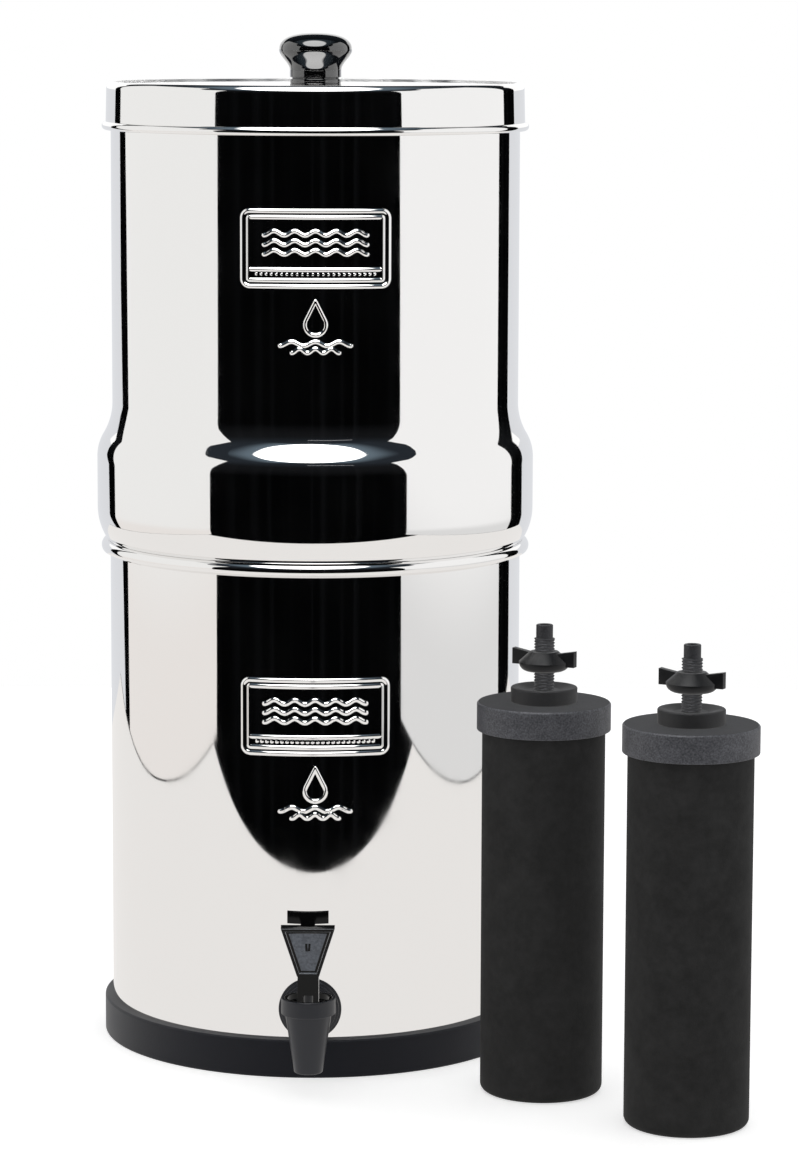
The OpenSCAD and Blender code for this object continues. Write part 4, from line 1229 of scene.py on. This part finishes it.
@dataclass
class Studio:
    """A white table in an open-fronted light tent, an oval light and a strip over its front, and the camera.

    Its sizes are metres and degrees.
    """

    table: tuple[float, float, float, float] = (-0.773, 0.773, -0.555, 1.0)
    panel_x: float = 0.78
    panel_h: float = 0.93
    wing_h: float = 1.3
    back_y: float = 0.83
    join_h: float = 0.47
    foot_h: float = 0.13
    foot_blur: float = 0.06
    left_front: tuple[Point, ...] = (
        (-0.60, 0), (-0.613, 0.48), (-0.66, 0.66), (-0.72, 0.878), (-0.42, 0.885), (-0.355, 0.94),
        (-0.29, 1.04), (-0.26, 1.3))
    right_front: tuple[Point, ...] = (
        (-0.71, 0), (-0.725, 0.32), (-0.75, 0.55), (-0.79, 0.77), (-0.845, 0.905), (-0.56, 0.895),
        (-0.48, 0.94), (-0.38, 1.03), (-0.32, 1.12), (-0.30, 1.3))
    return_side: tuple[Point, ...] = ((0.6, 0), (0.84, 0), (0.84, 0.3), (0.835, 0.3))
    over_z: float = 0.9
    over_side: tuple[Point, ...] = ((0.6, -0.94), (0.58, -0.5), (0.42, -0.2), (0.42, 0.1))
    oval_centre: Point = (-0.025, -0.60)
    oval_half: Point = (0.34, 0.33)
    oval_rear: float = 0.55
    oval_glow: float = 4
    strip_side: tuple[Point, ...] = ((-0.06, -1.205), (0.46, -1.165), (0.46, -1.14), (-0.06, -1.18))
    ceiling: str = "262B31"
    eye: Corner = (0.0443, -1.9513, 0.4994)
    lens: float = 125.8
    sensor: float = 36
    pan: float = 0.096
    tilt: float = 7.982
    roll: float = 0.2

    def card(self, name: str, corners: Sequence[Corner], material: bpy.types.Material,
             lights: bool = True) -> None:
        """Adds a card that the camera doesn't see.

        Args:
            name: The card's name.
            corners: Its corners in order.
            material: Its material.
            lights: False where it shows in reflections alone.
        """
        deselect()
        bpy.ops.mesh.primitive_circle_add(vertices=len(corners), fill_type="NGON", location=(0, 0, 0))
        card = bpy.context.object
        card.name = card.data.name = name
        for vertex, corner in zip(card.data.vertices, corners):
            vertex.co = corner
        card.data.materials.append(material)
        card.visible_camera = False
        card.visible_diffuse = lights

    def cloth(self, name: str, low: str, high: str, strength: float = 1) -> bpy.types.Material:
        """A glowing cloth that goes softly from one tone to another a little above the table.

        Args:
            name: The material's name.
            low: Tone by the table.
            high: Tone above.
            strength: How brightly it glows.

        Returns:
            The material.
        """
        material = bpy.data.materials.new(name)
        tree = cleared(material)
        place = add_node(tree, "SeparateXYZ", {0: add_node(tree, "TexCoord").outputs["Object"]})
        rise = add_node(tree, "MapRange", {
            "Value": place.outputs[2], "From Min": self.foot_h - self.foot_blur,
            "From Max": self.foot_h + self.foot_blur}, interpolation_type="SMOOTHSTEP")
        tone = add_node(tree, "Mix", {0: rise, 6: colour(low), 7: colour(high)}, data_type="RGBA")
        glow = add_node(tree, "Emission", {"Color": tone.outputs[2], "Strength": strength})
        add_node(tree, "OutputMaterial", {"Surface": glow})
        return material

    def oval_cloth(self) -> bpy.types.Material:
        """A bright oval, flatter behind than in front, that fades into the ceiling through a bluish halo."""
        material = bpy.data.materials.new("softbox_cloth")
        tree = cleared(material)
        (x, y), (w, d) = self.oval_centre, self.oval_half
        spread = add_node(tree, "Mapping", {
            "Vector": add_node(tree, "TexCoord").outputs["Object"], "Location": (-x / w, -y / d, 0),
            "Scale": (1 / w, 1 / d, 0)})
        sides = add_node(tree, "SeparateXYZ", {0: spread})
        front = add_node(tree, "Math", {0: sides.outputs[1], 1: 0.0}, operation="MINIMUM")
        rear = add_node(tree, "Math", {0: sides.outputs[1], 1: 0.0}, operation="MAXIMUM")
        depth = add_node(tree, "Math", {0: rear, 1: self.oval_rear, 2: front}, operation="MULTIPLY_ADD")
        bow = add_node(tree, "CombineXYZ", {0: sides.outputs[0], 1: depth})
        reach = add_node(tree, "VectorMath", {0: bow}, operation="LENGTH").outputs[1]
        halo = add_node(tree, "MapRange", {
            "Value": reach, "From Min": 1.0, "From Max": 1.7, "To Min": 1, "To Max": 0},
            interpolation_type="SMOOTHSTEP")
        fade = add_node(tree, "MapRange", {
            "Value": reach, "From Min": 0.94, "From Max": 1.03, "To Min": 1, "To Max": 0})
        around = add_node(tree, "Mix", {0: halo, 6: colour(self.ceiling), 7: colour("66747F")},
                          data_type="RGBA")
        core = (self.oval_glow, self.oval_glow, self.oval_glow, 1)
        tone = add_node(tree, "Mix", {0: fade, 6: around.outputs[2], 7: core}, data_type="RGBA")
        glow = add_node(tree, "Emission", {"Color": tone.outputs[2], "Strength": 1.0})
        add_node(tree, "OutputMaterial", {"Surface": glow})
        return material

    def tent(self) -> None:
        """Adds the side and back panels, the softbox over the front and a strip light before it."""
        x, y, join, high, wing = self.panel_x, self.back_y, self.join_h, self.panel_h, self.wing_h
        back = self.cloth("back_panel_grey", "E2E4E8", "E2E4E8")
        self.card("left_panel", [*((-x, *p) for p in self.left_front), (-x, 0.72, wing), (-x, 0.72, high),
                                 (-x, 0.48, 0)], self.cloth("left_panel_white", "F1EDEA", "F6F6F5"))
        self.card("left_return", [(-x, *p) for p in self.return_side], back)
        self.card("right_panel", [*((x, *p) for p in self.right_front), (x, 0.47, wing), (x, 0.47, 0)],
                  self.cloth("right_panel_white", "E4E4E4", "FDFDFD"))
        self.card("back_panel", [(-x, y, 0), (x, y, 0), (x, y, join), (-x, y, join)], back)
        self.card("back_panel_top", [(-x, y, join), (x, y, join), (x, y, high), (-x, y, high)],
                  self.cloth("back_panel_white", "FFFFFF", "FFFFFF", 1.1))
        outline = [*self.over_side, *((-side, y) for side, y in reversed(self.over_side))]
        self.card("softbox", [(*p, self.over_z) for p in outline], self.oval_cloth(), lights=False)
        self.card("strip", [(*p, self.over_z) for p in self.strip_side],
                  self.cloth("strip_light", "B0B0B4", "B0B0B4"), lights=False)

    def floor(self) -> None:
        """Adds the table: white to the camera with the object's shadow, and pale in reflections."""
        deselect()
        bpy.ops.mesh.primitive_plane_add(size=1, location=(0, 0, 0))
        floor = bpy.context.object
        floor.name = floor.data.name = "table_top"
        x0, x1, y0, y1 = self.table
        for vertex, corner in zip(floor.data.vertices, [(x0, y0), (x1, y0), (x0, y1), (x1, y1)]):
            vertex.co = (*corner, 0)
        material = bpy.data.materials.new("white_laminate")
        tree = cleared(material)
        rays = add_node(tree, "LightPath")
        matte = add_node(tree, "BsdfDiffuse", {"Color": colour("E6E6E6")})
        lift = add_node(tree, "Emission", {"Color": colour("FFFFFF"), "Strength": 0.55})
        seen = add_node(tree, "AddShader", {0: matte, 1: lift})
        pale = add_node(tree, "Emission", {"Color": colour("F2F0EE"), "Strength": 1.0})
        plain = add_node(tree, "MixShader", {0: rays.outputs["Is Camera Ray"], 1: matte, 2: seen})
        both = add_node(tree, "MixShader", {0: rays.outputs["Is Glossy Ray"], 1: plain, 2: pale})
        add_node(tree, "OutputMaterial", {"Surface": both})
        floor.data.materials.append(material)

    def surroundings(self) -> None:
        """Sets the world: white to the camera, soft grey as light, and a dim room in reflections.

        The room is black with faint streaks low down, and takes the ceiling's tone above.
        """
        world = bpy.data.worlds.new("studio_room")
        bpy.context.scene.world = world
        tree = cleared(world)
        rays = add_node(tree, "LightPath")
        aim = add_node(tree, "SeparateXYZ", {0: add_node(tree, "TexCoord").outputs["Generated"]})
        heading = add_node(tree, "Math", {0: aim.outputs[0], 1: aim.outputs[1]}, operation="ARCTAN2")
        streak = add_node(tree, "TexNoise", {"W": heading, "Scale": 9, "Detail": 3}, noise_dimensions="1D")
        faint = add_node(tree, "MapRange", {
            "Value": streak, "From Min": 0.5, "From Max": 0.75, "To Min": 0.001, "To Max": 0.004})
        wall = add_node(tree, "MapRange", {"Value": aim.outputs[2], "From Max": 0.3, "To Max": 0.008})
        dark = add_node(tree, "Math", {0: faint, 1: wall}, operation="ADD")
        above = add_node(tree, "MapRange", {"Value": aim.outputs[2], "From Min": 0.35, "From Max": 0.6},
                         interpolation_type="SMOOTHSTEP")
        dim = add_node(tree, "Mix", {0: dark, 6: (0, 0, 0, 1), 7: colour("E0E8F4")}, data_type="RGBA")
        room = add_node(tree, "Mix", {0: above, 6: dim.outputs[2], 7: colour(self.ceiling)},
                        data_type="RGBA")
        mirrored = add_node(tree, "Background", {"Color": room.outputs[2], "Strength": 1.0})
        soft = add_node(tree, "Background", {"Color": (1, 1, 1, 1), "Strength": 0.75})
        white = add_node(tree, "Background", {"Color": (1, 1, 1, 1), "Strength": 1.0})
        first = add_node(tree, "MixShader", {0: rays.outputs["Is Glossy Ray"], 1: soft, 2: mirrored})
        last = add_node(tree, "MixShader", {0: rays.outputs["Is Camera Ray"], 1: first, 2: white})
        add_node(tree, "OutputWorld", {"Surface": last})

    def camera(self) -> None:
        """Adds the camera."""
        data = bpy.data.cameras.new("camera")
        data.lens, data.sensor_width = self.lens, self.sensor
        camera = bpy.data.objects.new("camera", data)
        camera.location = self.eye
        turn = Matrix.Rotation(math.radians(self.pan), 4, "Z")
        turn = turn @ Matrix.Rotation(math.radians(90 - self.tilt), 4, "X")
        camera.rotation_euler = (turn @ Matrix.Rotation(math.radians(self.roll), 4, "Z")).to_euler()
        bpy.context.scene.collection.objects.link(camera)
        bpy.context.scene.camera = camera

    def build(self) -> None:
        """Sets up the whole studio."""
        self.tent()
        self.floor()
        self.surroundings()
        self.camera()
        bpy.context.scene.view_settings.view_transform = "Standard"
        log.info("studio: tent, table, room and camera")


def main() -> None:
    """Builds the pieces in order, then the studio."""
    for assembly in (LowerChamber(), UpperChamber(), Lid(), Tap(), FilterElement()):
        assembly.build()
        log.info("%s: done", type(assembly).__name__)
    dress_nodes()
    quiet_reflections()
    Studio().build()
    deselect()


if __name__ == "__main__":
    main()
